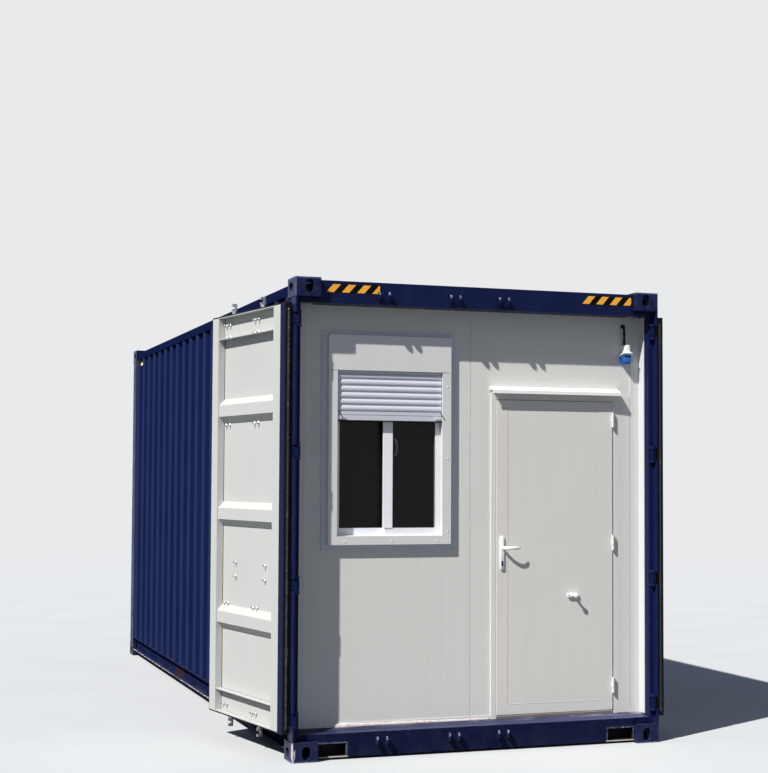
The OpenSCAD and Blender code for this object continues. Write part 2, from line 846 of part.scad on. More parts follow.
module shutter_box() {
    color(white) difference() {
        union() {
            span([window_left, window_right], [guide_front, wall_y], [box_foot, window_top]);
            span([hole_left, hole_right], [wall_y - over, guide_front + shutter_box_d], [box_foot, hole_top]);
        }
        span([hole_left + 4, hole_right - 4], [guide_front + 4, guide_front + shutter_box_d - 4],
            [box_foot + 4, hole_top - 4]);
        span([window_left + guide_w + 2, window_right - guide_w - 2],
            [guide_front + 8, guide_front + 8 + slat_t + 10], [box_foot - over, box_foot + 5]);
    }
}

// Side view of one slat: flat back, bulged front
module slat_plan() {
    intersection() {
        square([slat_t, slat_pitch - 3]);
        translate([slat_pitch * 0.75, (slat_pitch - 3) / 2]) circle(r = slat_pitch * 0.75, $fn = 48);
    }
    translate([slat_t - 4, 0]) square([3, slat_pitch]);
}

module shutter_curtain() {
    y0 = guide_front + 13;
    z0 = curtain_foot;
    x = [window_left + guide_w + 4, window_right - guide_w - 4];
    color(white) {
        translate([x[0], y0, z0 + end_bar_h]) rotate([90, 0, 90]) linear_extrude(x[1] - x[0])
            for (i = [0:slat_count - 1]) translate([0, i * slat_pitch]) slat_plan();
        translate([x[0], y0 + 2 + roll_r, z0 + end_bar_h + slat_count * slat_pitch - slat_pitch / 2])
            rotate([0, 90, 0]) cylinder(r = roll_r, h = x[1] - x[0], $fn = 48);
        translate([hole_left + 4, y0 + 2 + roll_r, z0 + end_bar_h + slat_count * slat_pitch - slat_pitch / 2])
            rotate([0, 90, 0]) cylinder(r = 20, h = hole_right - hole_left - 8);
        span(x, [y0, y0 + slat_t], [z0, z0 + end_bar_h]);
        for (s = x) span([s == x[0] ? s + 12 : s - 42, s == x[0] ? s + 42 : s - 12],
            [y0 - 12, y0], [z0 + 8, z0 + 24]);
    }
}

module shutter_guides() {
    color(white) {
        for (x = [window_left, window_right - guide_w])
            span([x, x + guide_w], [guide_front, frame_front], [window_foot, box_foot]);
        span([window_left + guide_w, window_right - guide_w], [guide_front, frame_front],
            [window_foot, window_foot + foot_rail_h]);
    }
}

module door_frame() {
    front = wall_y - door_frame_out;
    color(white) {
        difference() {
            span([door_out_l, door_out_r], [front, wall_y], [floor_top, door_out_t]);
            span([door_in_l, door_in_r], [front - over, wall_y + over], [floor_top - over, door_in_t]);
        }
        difference() {
            span([door_out_l + 6, door_out_r - 6], [wall_y, wall_back], [floor_top, door_out_t - 6]);
            span([door_in_l, door_in_r], [wall_y - over, leaf_back + leaf_gap],
                [floor_top - over, door_in_t]);
            span([door_in_l + 14, door_in_r - 14], [wall_y, wall_back + over],
                [floor_top - over, door_in_t - 14]);
        }
        span([door_in_l, door_in_r], [front, leaf_back], [floor_top, threshold_top]);
        for (z = barrel_z) {
            for (s = [-1, 1]) translate([barrel_x, barrel_y, z + s * barrel_h / 3 - barrel_h / 6 + s * 0.5])
                cylinder(r = barrel_r, h = barrel_h / 3 - 1);
            for (s = [-1, 1]) translate([0, 0, z + s * barrel_h / 3 - barrel_h / 6 + s * 0.5])
                span([barrel_x + 3.5, barrel_x + 10], [barrel_y, front + 1], [0, barrel_h / 3 - 1]);
            translate([barrel_x, barrel_y, z - barrel_h / 2]) cylinder(r = 3, h = barrel_h);
        }
    }
}

module door_canopy() {
    top = door_out_t + canopy_rise;
    edge = wall_y - canopy_out;
    lip = top - canopy_drop - canopy_lip;
    color(white) translate([door_out_l - canopy_past, 0, 0]) rotate([90, 0, 90])
        linear_extrude(door_out_r - door_out_l + 2 * canopy_past)
            polygon([[wall_y, top], [edge, top - canopy_drop], [edge, lip], [edge + canopy_t, lip],
                [edge + canopy_t, top - canopy_drop - canopy_t],
                [wall_y - canopy_t, top - canopy_t], [wall_y - canopy_t, top - canopy_flange],
                [wall_y, top - canopy_flange]]);
}

module keeper(x, z) {
    h = keeper_h / 2;
    for (s = [-1, 1]) translate([x + s * (keeper_half_gap + keeper_t / 2), beam_y, z])
        rotate([90, 0, 90]) translate([0, 0, -keeper_t / 2]) linear_extrude(keeper_t)
            polygon([[0, -h], [0, h], [12 - keeper_reach, h], [-keeper_reach, h - 12],
                [-keeper_reach, 12 - h], [12 - keeper_reach, -h]]);
}

module lock_keepers() {
    color(steel) for (x = [-left_rods[0], -left_rods[1], right_rods[0]], z = [keeper_top_z, keeper_low_z])
        keeper(x, z);
}

module inlet_hood() {
    neck_w = hood_top_w + 16;
    neck_out = inlet_out - 16;
    color(white) translate([inlet_x, wall_y, inlet_z]) {
        hull() {
            translate([-hood_w / 2, 6 - inlet_out, 0]) cube([hood_w, inlet_out - 6, 6]);
            translate([-neck_w / 2, -neck_out, 20]) cube([neck_w, neck_out, 2]);
        }
        hull() {
            translate([-neck_w / 2, -neck_out, 20]) cube([neck_w, neck_out, 2]);
            translate([-hood_top_w / 2, 22 - inlet_out, hood_h - 4]) cube([hood_top_w, inlet_out - 22, 4]);
        }
    }
}

// The socket body: its lid hangs from a pin between two ears
module power_inlet() {
    color("#1f66b8") translate([inlet_x, wall_y, inlet_z]) {
        hull() {
            translate([5 - hood_w / 2, -inlet_body, -14]) cube([hood_w - 10, inlet_body, 14]);
            translate([17 - hood_w / 2, -inlet_body, -socket_h]) cube([hood_w - 34, inlet_body, 10]);
        }
        for (s = [-1, 1]) translate([s * ear_x, 0, -12]) hull() {
            translate([-4, -inlet_body - 5.3, 0]) rotate([0, 90, 0]) cylinder(r = 6, h = 8);
            translate([-4, -inlet_body, -6]) cube([8, 4, 12]);
        }
        translate([-ear_x, -inlet_body - 5.3, -12]) rotate([0, 90, 0]) cylinder(r = 2, h = 2 * ear_x);
    }
}

module inlet_lid() {
    arm = ear_x - 5;
    wide = ear_x + 3;
    foot = ear_x - 6;
    color("#1f66b8") translate([inlet_x, wall_y - inlet_body - 5.3, inlet_z - 12]) difference() {
        union() {
            rotate([0, 90, 0]) cylinder(r = 5, h = 2 * arm, center = true);
            rotate([90, 0, 0]) translate([0, 0, -5]) linear_extrude(8)
                polygon([[-arm, 0], [-arm, -8], [-wide, -13], [-foot, -47], [foot, -47], [wide, -13],
                    [arm, -8], [arm, 0]]);
        }
        rotate([0, 90, 0]) cylinder(r = 2.4, h = 70, center = true);
    }
}

module inlet_cable() {
    top = inlet_z + cable_rise;
    end_x = inlet_x - 4;
    route = [[outlet_x, wall_y + 20, top], [outlet_x, wall_y - 8, top], [outlet_x, wall_y - 22, top - 8],
        [outlet_x + 1, wall_y - 28, top - 26], [outlet_x + 3, wall_y - 26, top - 60],
        [end_x, wall_y - 20, top - 100], [end_x, wall_y - 20, inlet_z + hood_h + run_gap]];
    sides = 10;
    color("#1c1b1b") {
        polyhedron(tube_points(route, cable_d / 2, sides), tube_faces(len(route), sides));
    }
}

// Rings of points square to the route, and the faces between them
function tube_points(p, r, n) = [for (i = [0:len(p) - 1]) let (
    d = unit(p[min(i + 1, len(p) - 1)] - p[max(i - 1, 0)]), a = unit(cross(d, [1, 0, 0])), b = cross(d, a))
    each [for (k = [0:n - 1]) p[i] + r * (a * cos(360 * k / n) + b * sin(360 * k / n))]];
function tube_faces(m, n) = concat([[for (k = [0:n - 1]) k]],
    [for (i = [0:m - 2], k = [0:n - 1])
        [i * n + k, (i + 1) * n + k, (i + 1) * n + (k + 1) % n, i * n + (k + 1) % n]],
    [[for (k = [n - 1:-1:0]) (m - 1) * n + k]]);
function unit(v) = v / norm(v);

// Turns a closed right-hand leaf about its pins to where it stands folded back
module folded() {
    translate([pin_x, pin_y, 0]) rotate([0, 0, fold_angle]) translate([-pin_x, -pin_y, 0]) children();
}

// A hinge blade: round the pin, past the post's corner and along the leaf's outer face
module blade_plan() {
    foot_x = door_x1 - 4 - blade_foot;
    difference() {
        union() {
            translate([pin_x, pin_y]) circle(r = pin_r + nose);
            polygon([[pin_x - 4, pin_y + 12], [pin_x - 22, pin_y + 18], [door_x1 - 4, door_front],
                [door_x1 - 4, door_front + over], [foot_x, door_front + over], [foot_x, door_front - blade_t],
                [door_x1 - 17, door_front - blade_t - 1.5], [door_x1 + 2, door_front - 18],
                [pin_x - 15, pin_y + 3], [pin_x, pin_y]]);
        }
        translate([pin_x, pin_y]) circle(r = pin_r + pin_clear);
    }
}

module leaf_channel(z0, z1) {
    difference() {
        span([door_meet + meeting_stile_w, door_x1 - hinge_stile_w], [door_front, door_back], [z0, z1]);
        span([0, hx], [door_front + door_wall, door_back + over], [z0 + door_wall, z1 - door_wall]);
    }
}

module leaf_closed() {
    panel_z0 = door_z0 + door_channel_h;
    panel_z1 = door_z1 - door_channel_h;
    line = [for (i = [1:rib_count]) let (m = door_mid_z + (i - (rib_count + 1) / 2) * rib_pitch) each [
        [m - rib_face / 2 - rib_slope, 0], [m - rib_face / 2, rib_depth],
        [m + rib_face / 2, rib_depth], [m + rib_face / 2 + rib_slope, 0]]];
    path = concat([[panel_z0, 0]], line, [[panel_z1, 0]]);
    color(white) {
        for (x = [[door_meet, door_meet + meeting_stile_w], [door_x1 - hinge_stile_w, door_x1]])
            difference() {
                span(x, [door_front, door_back], [door_z0, door_z1]);
                span(x + [door_wall, -door_wall], [door_front + door_wall, door_back - door_wall],
                    [door_z0 + door_wall, door_z1 - door_wall]);
            }
        leaf_channel(door_z0, panel_z0);
        leaf_channel(panel_z1, door_z1);
        translate([door_meet + meeting_stile_w, 0, 0])
            multmatrix([[0, 0, 1, 0], [0, 1, 0, door_front], [1, 0, 0, 0]])
                linear_extrude(door_x1 - hinge_stile_w - door_meet - meeting_stile_w)
                    polygon(concat(path, [for (i = [len(path) - 1:-1:0]) path[i] + [0, sheet]]));
        for (z = hinge_z) translate([0, 0, z - blade_half]) linear_extrude(2 * blade_half) blade_plan();
    }
}

module gasket_closed() {
    x = [door_meet, door_x1];
    color("#1c1b1b") difference() {
        span([x[0] - seal_t, x[1] + seal_hinge_t], [door_front + 6, door_back - 2],
            [door_z0 - seal_t, door_z1 + seal_t]);
        span(x, [door_front, door_back], [door_z0, door_z1]);
    }
}

// Lock rods at the given distances from the middle, each with its cams and handle
module rods_closed(places) {
    color(rod_grey) for (x = places) {
        translate([x, rod_y, keeper_low_z + cam_h / 2 - 5])
            cylinder(d = rod_d, h = keeper_top_z - keeper_low_z - cam_h + 10);
        for (z = [keeper_low_z, keeper_top_z]) difference() {
            span([x - cam_half, x + cam_half], [rod_y - 13, rod_y + cam_reach],
                [z - cam_h / 2, z + cam_h / 2]);
            span([x - cam_half - over, x + cam_half + over], [rod_y - 1, rod_y + cam_reach + over],
                [z - cam_h / 6, z + cam_h / 6]);
        }
        translate([x, rod_y, handle_z - handle_h]) cylinder(d = rod_d + 8, h = 2 * handle_h);
        span([x, x + handle_l], [rod_y - handle_t, rod_y],
            [handle_z - handle_h / 2, handle_z + handle_h / 2]);
    }
}

// The brackets that hold the rods to a leaf, and the catches behind their handles
module brackets_closed(places) {
    levels = [door_z0 + bracket_end, door_mid_z - bracket_mid, door_mid_z + bracket_mid,
        door_z1 - bracket_end];
    color(rod_grey) for (x = places) {
        difference() {
            for (z = levels) {
                span([x - bracket_w / 2, x + bracket_w / 2], [door_front - 6, door_front],
                    [z - bracket_h / 2, z + bracket_h / 2]);
                span([x - rod_d / 2 - 8, x + rod_d / 2 + 8], [rod_y, door_front - 5],
                    [z - bracket_h / 2, z + bracket_h / 2]);
            }
            translate([x, rod_y, 0]) cylinder(d = rod_d + 2 * run_gap, h = box_h);
        }
        span([x + catch_x, x + catch_x + catch_w], [rod_y + run_gap, door_front],
            [handle_z - catch_h / 2, handle_z + catch_h / 2]);
    }
}

module left_leaf() {
    mirror([1, 0, 0]) folded() leaf_closed();
}

module left_gasket() {
    mirror([1, 0, 0]) folded() gasket_closed();
}

module left_lock_rods() {
    mirror([1, 0, 0]) folded() rods_closed(left_rods);
}

module left_rod_brackets() {
    mirror([1, 0, 0]) folded() brackets_closed(left_rods);
}

module right_leaf() {
    folded() leaf_closed();
}

module right_gasket() {
    folded() gasket_closed();
}

module right_lock_rod() {
    folded() rods_closed(right_rods);
}

module right_rod_brackets() {
    folded() brackets_closed(right_rods);
}

module entrance_leaf() {
    color(wall_white) {
        difference() {
            span([leaf_left, leaf_right], [leaf_front, leaf_back], [leaf_foot, leaf_top]);
            difference() {
                span([leaf_left + stile_w, leaf_right - stile_w - 16],
                    [leaf_front - over, leaf_front + groove_d],
                    [leaf_foot + panel_inset, leaf_top - panel_inset]);
                span([leaf_left + stile_w + groove_w, leaf_right - stile_w - 16 - groove_w],
                    [leaf_front - 2 * over, leaf_front + groove_d + over],
                    [leaf_foot + panel_inset + groove_w, leaf_top - panel_inset - groove_w]);
            }
        }
        for (z = barrel_z) difference() {
            union() {
                translate([barrel_x, barrel_y, z - barrel_h / 6 + 1])
                    cylinder(r = barrel_r, h = barrel_h / 3 - 2);
                span([barrel_x - 10, barrel_x - 2], [barrel_y, leaf_front],
                    [z - barrel_h / 6 + 1, z + barrel_h / 6 - 1]);
            }
            translate([barrel_x, barrel_y, z - barrel_h]) cylinder(r = 3.4, h = 2 * barrel_h);
        }
    }
}

module door_furniture() {
    holder_x = 676;
    holder_z = 934;
    color(white) {
        difference() {
            span([lever_x - backplate_w / 2, lever_x + backplate_w / 2],
                [leaf_front - backplate_t, leaf_front], [lever_z - backplate_h + 70, lever_z + 70]);
            translate([lever_x, leaf_front - backplate_t, lever_z]) rotate([90, 0, 0])
                cylinder(r = 9.4, h = 12, center = true);
        }
        translate([lever_x, leaf_front - backplate_t, lever_z - 92]) rotate([90, 0, 0])
            cylinder(r = 8.5, h = 4);
        span([holder_x - 15, holder_x + 15], [leaf_front - 8, leaf_front], [holder_z - 25, holder_z + 25]);
        translate([holder_x, leaf_front - 8, holder_z]) rotate([90, 0, 0]) cylinder(r = 11, h = 26);
        span([holder_x - 40, holder_x + 14], [leaf_front - 42, leaf_front - 34],
            [holder_z - 10, holder_z + 12]);
    }
}

module door_lever() {
    color(white) translate([lever_x, leaf_front - backplate_t + 5.7, lever_z]) {
        rotate([90, 0, 0]) cylinder(r = 9, h = lever_reach);
        translate([0, -lever_reach, 0]) rotate([0, 90, 0]) cylinder(r = 7, h = lever_l);
        translate([0, -lever_reach, 0]) sphere(r = 9);
    }
}

corner_castings();
door_posts();
door_header();
door_sill();
far_posts();
far_beams();
top_rails();
bottom_rails();
cross_members();
floor_deck();
side_wall_left();
side_wall_right();
far_end_wall();
roof_panel();
side_linings();
far_lining();
ceiling_lining();
front_wall_left();
front_wall_middle();
front_wall_right();
front_wall_over_door();
front_wall_at_window();
wall_trims();
window_surround();
window_frame();
window_sashes();
window_glass();
shutter_box();
shutter_curtain();
shutter_guides();
door_frame();
door_canopy();
lock_keepers();
power_inlet();
inlet_hood();
inlet_cable();
inlet_lid();
left_leaf();
left_gasket();
left_lock_rods();
left_rod_brackets();
right_leaf();
right_gasket();
right_lock_rod();
right_rod_brackets();
entrance_leaf();
door_furniture();
door_lever();
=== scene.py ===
# %% [markdown]
# # A portable site cabin, finished in Blender
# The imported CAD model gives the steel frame, the walls, the doors and the window. This lesson
# gives each of them its real finish, and adds what is too small or too thin for CAD: bolts,
# seals, screws, weld beads, films and the bead of sealant along the sill.

# %% Load the frame
import json
import math
from functools import partial
import bpy
import numpy as np
from mathutils import Matrix, Vector


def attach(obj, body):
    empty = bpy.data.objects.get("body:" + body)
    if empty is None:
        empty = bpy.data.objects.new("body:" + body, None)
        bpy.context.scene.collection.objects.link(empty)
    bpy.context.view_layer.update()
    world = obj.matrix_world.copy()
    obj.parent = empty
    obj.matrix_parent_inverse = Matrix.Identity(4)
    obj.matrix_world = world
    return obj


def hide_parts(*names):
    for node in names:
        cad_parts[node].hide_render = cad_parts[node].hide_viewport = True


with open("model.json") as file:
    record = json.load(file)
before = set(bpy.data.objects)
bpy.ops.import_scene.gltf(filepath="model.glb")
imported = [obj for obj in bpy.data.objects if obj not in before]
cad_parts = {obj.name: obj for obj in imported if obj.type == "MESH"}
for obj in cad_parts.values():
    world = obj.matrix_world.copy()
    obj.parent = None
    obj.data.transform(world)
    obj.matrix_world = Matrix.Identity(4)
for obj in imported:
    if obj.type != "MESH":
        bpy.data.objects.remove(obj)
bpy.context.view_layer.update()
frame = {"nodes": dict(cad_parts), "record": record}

scene = bpy.context.scene
scene.view_settings.view_transform = "Standard"
MM = 0.001

# %% [markdown]
# The camera stands where the photograph was taken: a little left of the cabin, 12 m off, at
# eye height. Its place, turn and focal length come from a perspective fit of the cabin's
# corners. Two angles, yaw and pitch, turn the view, and a small roll follows them.

# %% Camera
camera_place = (-3.6046, -12.0183, 1.6885)
yaw, pitch, roll = (math.radians(a) for a in (19.447, 2.6548, 0.2394))
ahead = np.array([
    math.sin(yaw) * math.cos(pitch), math.cos(yaw) * math.cos(pitch), math.sin(pitch)])
level_right = np.array([math.cos(yaw), -math.sin(yaw), 0.0])
level_up = np.cross(level_right, ahead)
right = level_right * math.cos(roll) + level_up * math.sin(roll)
up = level_up * math.cos(roll) - level_right * math.sin(roll)

lens = bpy.data.cameras.new("camera")
lens.sensor_width, lens.lens = 36.0, 72.42
lens.shift_x, lens.shift_y = -0.0453, 0.0252
lens.clip_end = 500.0
camera = bpy.data.objects.new("camera", lens)
scene.collection.objects.link(camera)
turn = Matrix(np.column_stack([right, up, -ahead]).tolist()).to_4x4()
camera.matrix_world = Matrix.Translation(camera_place) @ turn
scene.camera = camera
print("camera at", camera_place, "lens", lens.lens)

# %% [markdown]
# Colours are written as sRGB hex, as a paint chart gives them, and one function turns them
# into the linear numbers that a shader wants. One more function adds a shader node with its
# options and its links, so that every material below reads as a list of steps, each made
# from the steps before it.

# %% Colours and nodes
def colour(code):
    """Linear RGBA of a hex code: c / 12.92 below 0.04045, else ((c + 0.055) / 1.055) ** 2.4."""
    c = np.array([int(code[i:i + 2], 16) for i in (1, 3, 5)]) / 255
    linear = np.where(c <= 0.04045, c / 12.92, ((c + 0.055) / 1.055) ** 2.4)
    return (*linear.tolist(), 1.0)


def shade(code, gain):
    """The same colour lighter or darker: its linear numbers times gain."""
    return (*[c * gain for c in colour(code)[:3]], 1.0)


def add_node(tree, kind, sockets=(), operation=None, **options):
    """One shader node. options are its own settings; sockets are its inputs, by name or in
    order: a value, an output to link, or a node whose first output is linked."""
    node = tree.nodes.new("ShaderNode" + kind)
    if operation:
        node.operation = operation
    for name, value in options.items():
        setattr(node, name, value)
    inputs = sockets if isinstance(sockets, dict) else dict(enumerate(sockets))
    for name, value in inputs.items():
        if isinstance(value, bpy.types.Node):
            value = value.outputs[0]
        if isinstance(value, bpy.types.NodeSocket):
            tree.links.new(value, node.inputs[name])
        else:
            node.inputs[name].default_value = value
    return node


print("white wall as linear:", [round(x, 3) for x in colour("#DCDBD7")])

# %% [markdown]
# Paint is never one flat colour, so four steps come back in most materials. Noise cut between
# two levels gives soft patches, or streaks where the coordinates are squeezed. One paint is
# laid over another where such a mask says. Fine noise raised a fraction of a millimetre gives
# a skin its orange peel, and the shader closes the material. Every pattern reads the object's
# own coordinates in metres, so its size is the real one.

# %% Steps that materials share
def new_finish(name):
    """An empty material, the function that adds a node to it, and the object's coordinates."""
    material = bpy.data.materials.new(name)
    material.use_nodes = True
    material.node_tree.nodes.clear()
    add = partial(add_node, material.node_tree)
    return material, add, add("TexCoord").outputs["Object"]


def finished(material, paint, roughness, gloss=0.5, ior=1.5, **more):
    """Closes a material with one shader; more holds its other sockets by name."""
    sockets = {"Base Color": paint, "Roughness": roughness, "Specular IOR Level": gloss, "IOR": ior}
    shader = add_node(material.node_tree, "BsdfPrincipled", {**sockets, **more})
    add_node(material.node_tree, "OutputMaterial", (shader,))
    return material


def patches(add, point, size, low, high, detail=3.0, most=1.0, stretch=None):
    """A mask from 0 to most: noise with lumps size millimetres wide, cut between two levels;
    stretch scales the three coordinates first, and a small number draws the lumps out."""
    if stretch:
        point = add("Mapping", {"Vector": point, "Scale": stretch})
    noise = add("TexNoise", {"Vector": point, "Scale": 1000 / size, "Detail": detail})
    return add("MapRange", (noise, low, high, 0.0, most))


def blended(add, masks, under, over):
    """The paint under, covered by over as far as the mask says, or several masks multiplied;
    a paint may be a hex code."""
    factor, *others = masks if isinstance(masks, tuple) else (masks,)
    for mask in others:
        factor = add("Math", (factor, mask), "MULTIPLY")
    under, over = (colour(paint) if isinstance(paint, str) else paint for paint in (under, over))
    return add("Mix", {0: factor, 6: under, 7: over}, data_type="RGBA").outputs[2]


def grained(add, point, size, detail, strength, depth, **more):
    """A skin's relief: noise with lumps size millimetres wide, raised depth metres."""
    noise = add("TexNoise", {"Vector": point, "Scale": 1000 / size, "Detail": detail})
    return add("Bump", {
        "Height": noise, "Strength": strength, "Distance": depth, **more})


def mottled(name, under, over, spots, skin, *shader, **more):
    """A whole finish of two paints: over lies on under in patches. spots holds the numbers
    that patches takes, skin those that grained takes, and shader those that finished takes."""
    material, add, point = new_finish(name)
    paint = blended(add, patches(add, point, *spots), under, over)
    if skin:
        more["Normal"] = grained(add, point, *skin)
    return finished(material, paint, *shader, **more)


print("a lump of 45 mm is noise of scale", round(1000 / 45, 1))

# %% [markdown]
# The stage has a pale sky and one far lamp. The lamp stands to the front left, high up: the
# drop of the shadows under the header and the canopy gave its direction, and its disc, less
# than a degree wide, gives them a narrow soft edge. What the camera and the gloss see of the
# sky is lighter than what it adds as light, so that colours render about as written.

# %% Sky and lamp
SKY_LIGHT, SUN_LIGHT, SUN_WIDTH = 0.23, 5.5, 0.8
BACKGROUND = "#E9EAEC"


def seen_rays(add):
    """1 for rays that the camera, gloss or glass sees, 0 for rays that only carry light."""
    ray = add("LightPath").outputs
    seen = add("Math", (ray["Is Camera Ray"], ray["Is Glossy Ray"]), "MAXIMUM")
    return add("Math", (seen, ray["Is Transmission Ray"]), "MAXIMUM")


world = bpy.data.worlds.new("pale_sky")
scene.world = world
world.use_nodes = True
world.node_tree.nodes.clear()
add = partial(add_node, world.node_tree)
lighting = add("Background", {"Color": colour("#D2E1FF"), "Strength": SKY_LIGHT})
backdrop = add("Background", {"Color": colour(BACKGROUND), "Strength": 1.0})
sky = add("MixShader", (seen_rays(add), lighting, backdrop))
add("OutputWorld", (sky,))

sun_data = bpy.data.lights.new("key_lamp", "SUN")
sun_data.energy, sun_data.angle = SUN_LIGHT, math.radians(SUN_WIDTH)
sun_data.color = colour("#FFFDF9")[:3]
sun = bpy.data.objects.new("key_lamp", sun_data)
scene.collection.objects.link(sun)
to_sun = Vector((-1.80, -1.0, 2.25)).normalized()
sun.rotation_mode = "QUATERNION"
sun.rotation_quaternion = to_sun.to_track_quat("Z", "Y")
print("lamp towards", tuple(round(x, 2) for x in to_sun))

# %% [markdown]
# The floor is one wide sheet. Its material is a matt pale grey near the cabin, where the
# shadow falls, and turns with distance into the background's own colour for the rays that
# are seen, so that no horizon line crosses the picture. As light it gives back less than it
# shows, so the hollows of the cabin stay dark.

# %% Floor
REACH, FADE_FROM, FADE_TO = 90.0, 6.0, 30.0
floor_corners = [(-REACH, -REACH, 0), (REACH, -REACH, 0), (REACH, REACH, 0), (-REACH, REACH, 0)]
floor_mesh = bpy.data.meshes.new("floor")
floor_mesh.from_pydata(floor_corners, [], [(0, 1, 2, 3)])
floor = bpy.data.objects.new("floor", floor_mesh)
scene.collection.objects.link(floor)

floor_paint, add, point = new_finish("studio_floor")
distance = add("VectorMath", (point,), "LENGTH").outputs["Value"]
far = add("MapRange", (distance, FADE_FROM, FADE_TO), interpolation_type="SMOOTHSTEP")
seen = seen_rays(add)
fade = add("Math", (far, seen), "MULTIPLY")
pale_floor = blended(add, patches(add, point, 900, 0.3, 0.7), "#C3C5C7", "#C7C9CB")
matt = add("BsdfDiffuse", {"Color": blended(add, seen, "#6E7072", pale_floor)})
glow = add("Emission", {"Color": colour(BACKGROUND), "Strength": 1.0})
both = add("MixShader", (fade, matt, glow))
add("OutputMaterial", (both,))
floor_mesh.materials.append(floor_paint)
print("floor reaches", REACH, "m")

# %% [markdown]
# The container's steel is painted with a semi-gloss navy enamel, sprayed over primer. To the
# eye it is one deep colour with a slight orange peel, a few paler rubbed streaks, and fine
# dust where it lies flat or stands near the ground. One function makes the whole family, so
# that the posts, the roof and the castings differ only as their use has worn them, and by the
# painted highlights and shade that some of them carry.

# %% Navy enamel
def navy_enamel(name, code, dust=0.06, roughness=0.34, gloss=0.07, wear_and_painted_light=None):
    """Sprayed enamel: colour lumps 700 mm wide, streaks 45 mm wide, and dust where the normal
    points up or z is low."""
    material, add, point = new_finish(name)
    normal = add("TexCoord").outputs["Normal"]
    paint = blended(add, patches(add, point, 700, 0.35, 0.7), code, shade(code, 1.14))
    streaks = patches(add, point, 45, 0.56, 0.85, most=0.12, stretch=(1.0, 1.0, 0.06))
    paint = blended(add, streaks, paint, "#39427A")
    facing = add("SeparateXYZ", (normal,)).outputs[2]
    height = add("SeparateXYZ", (point,)).outputs[2]
    flat = add("MapRange", (facing, 0.35, 0.95))
    low = add("MapRange", (height, 0.30, 0.02, 0.0, 0.5))
    resting = add("Math", (flat, low), "MAXIMUM")
    cloudy = patches(add, point, 120, 0.3, 0.75, detail=5.0)
    paint = blended(add, (resting, cloudy, dust * 3), paint, "#85858F")
    if wear_and_painted_light:
        paint = wear_and_painted_light(add, point, paint)
    dull = add("MapRange", (cloudy, 0.0, 1.0, roughness - 0.04, roughness + 0.12))
    soft_edge = add("Bevel", {"Radius": 0.004}, samples=4)
    peel = grained(add, point, 9, 2.0, 0.12, 0.0006, Normal=soft_edge)
    return finished(material, paint, dull, gloss, Normal=peel)


underbody_paint = navy_enamel("navy_enamel_underbody", "#12151B", dust=0.05, roughness=0.7)
print("enamel steps:", len(underbody_paint.node_tree.nodes))

# %% [markdown]
# Corner castings take the knocks of chains and locks, so their paint is rubbed through to
# pale primer along the edges, and a paler blue band beside the edges is a painted highlight
# of their rounded corners. A painted mask could do it, but the object's own sizes are
# enough: an edge is where a point is close to two outer planes at once, so the middle one of
# its three distances is small. Noise makes the band ragged. The same distances tell the
# inside of a casting from its outside, and the inside is painted near black, as shade.

# %% Worn castings, with painted highlight and shade
HALF_X, HALF_Y, TOP_Z = 1.219, 3.029, 2.896


def from_centre(add, value, centre=0.0):
    """|value - centre|."""
    off = add("Math", (value, centre), "SUBTRACT")
    return add("Math", (off,), "ABSOLUTE")


def worn_castings_with_painted_light(add, point, paint):
    """Bare where the middle one of the distances half - |axis - centre| is small, with a paler
    painted highlight band beside that, scraped pale near the lower left corner, and painted
    shade, near black, where the least of them is past 27 mm."""
    axes = add("SeparateXYZ", (point,)).outputs
    sizes = zip(axes, (0.0, 0.0, TOP_Z / 2), (HALF_X, HALF_Y, TOP_Z / 2))
    x_gap, y_gap, z_gap = (
        add("Math", (half, from_centre(add, value, centre)), "SUBTRACT")
        for value, centre, half in sizes)
    lesser = add("Math", (x_gap, y_gap), "MINIMUM")
    greater = add("Math", (x_gap, y_gap), "MAXIMUM")
    capped = add("Math", (greater, z_gap), "MINIMUM")
    middle = add("Math", (lesser, capped), "MAXIMUM")
    least = add("Math", (lesser, z_gap), "MINIMUM")
    greyed = patches(add, point, 55, 0.4, 0.75, detail=4.0, most=0.28)
    paint = blended(add, greyed, paint, "#4A4C68")
    ragged = add("TexNoise", {"Vector": point, "Scale": 1000 / 28, "Detail": 5.0})
    width = add("MapRange", (ragged, 0.42, 0.70, 0.0005, 0.009))
    # Painted highlight: a paler blue band up to 11 mm from the edges, where rounded corners catch
    # the light.
    soft = add("MapRange", (middle, width, 0.011, 0.70, 0.0))
    paint = blended(add, soft, paint, "#6B74A2")
    edge = add("MapRange", (middle, 0.002, 0.007, 1.0, 0.0))
    low = add("MapRange", (axes[2], 0.12, 0.20, 0.8, 0.25))
    chips = patches(add, point, 17, 0.58, 0.64, detail=4.0)
    paint = blended(add, (edge, chips, low), paint, "#C4C3D2")
    stand = add("VectorMath", (point, (1.0, 1.0, 0.25)), "MULTIPLY")
    knock = add("VectorMath", (stand, (-HALF_X, -HALF_Y, 0.015)), "DISTANCE")
    near = add("MapRange", (knock.outputs["Value"], 0.006, 0.045, 1.0, 0.0))
    scrapes = add("TexNoise", {"Vector": stand, "Scale": 1000 / 11, "Detail": 4.0})
    flaked = add("Math", (near, scrapes), "MULTIPLY")
    bare = add("MapRange", (flaked, 0.31, 0.46, 0.0, 0.85))
    paint = blended(add, bare, paint, "#CFC8D2")
    # Painted shade: the inside of the casting, past 27 mm from every outer plane, is near black.
    hollow = add("MapRange", (least, 0.026, 0.030, 0.0, 0.9))
    return blended(add, hollow, paint, "#0B0B10")


casting_paint = navy_enamel("navy_enamel_castings", "#121B40", dust=0.05, wear_and_painted_light=worn_castings_with_painted_light)
print("casting steps:", len(casting_paint.node_tree.nodes))

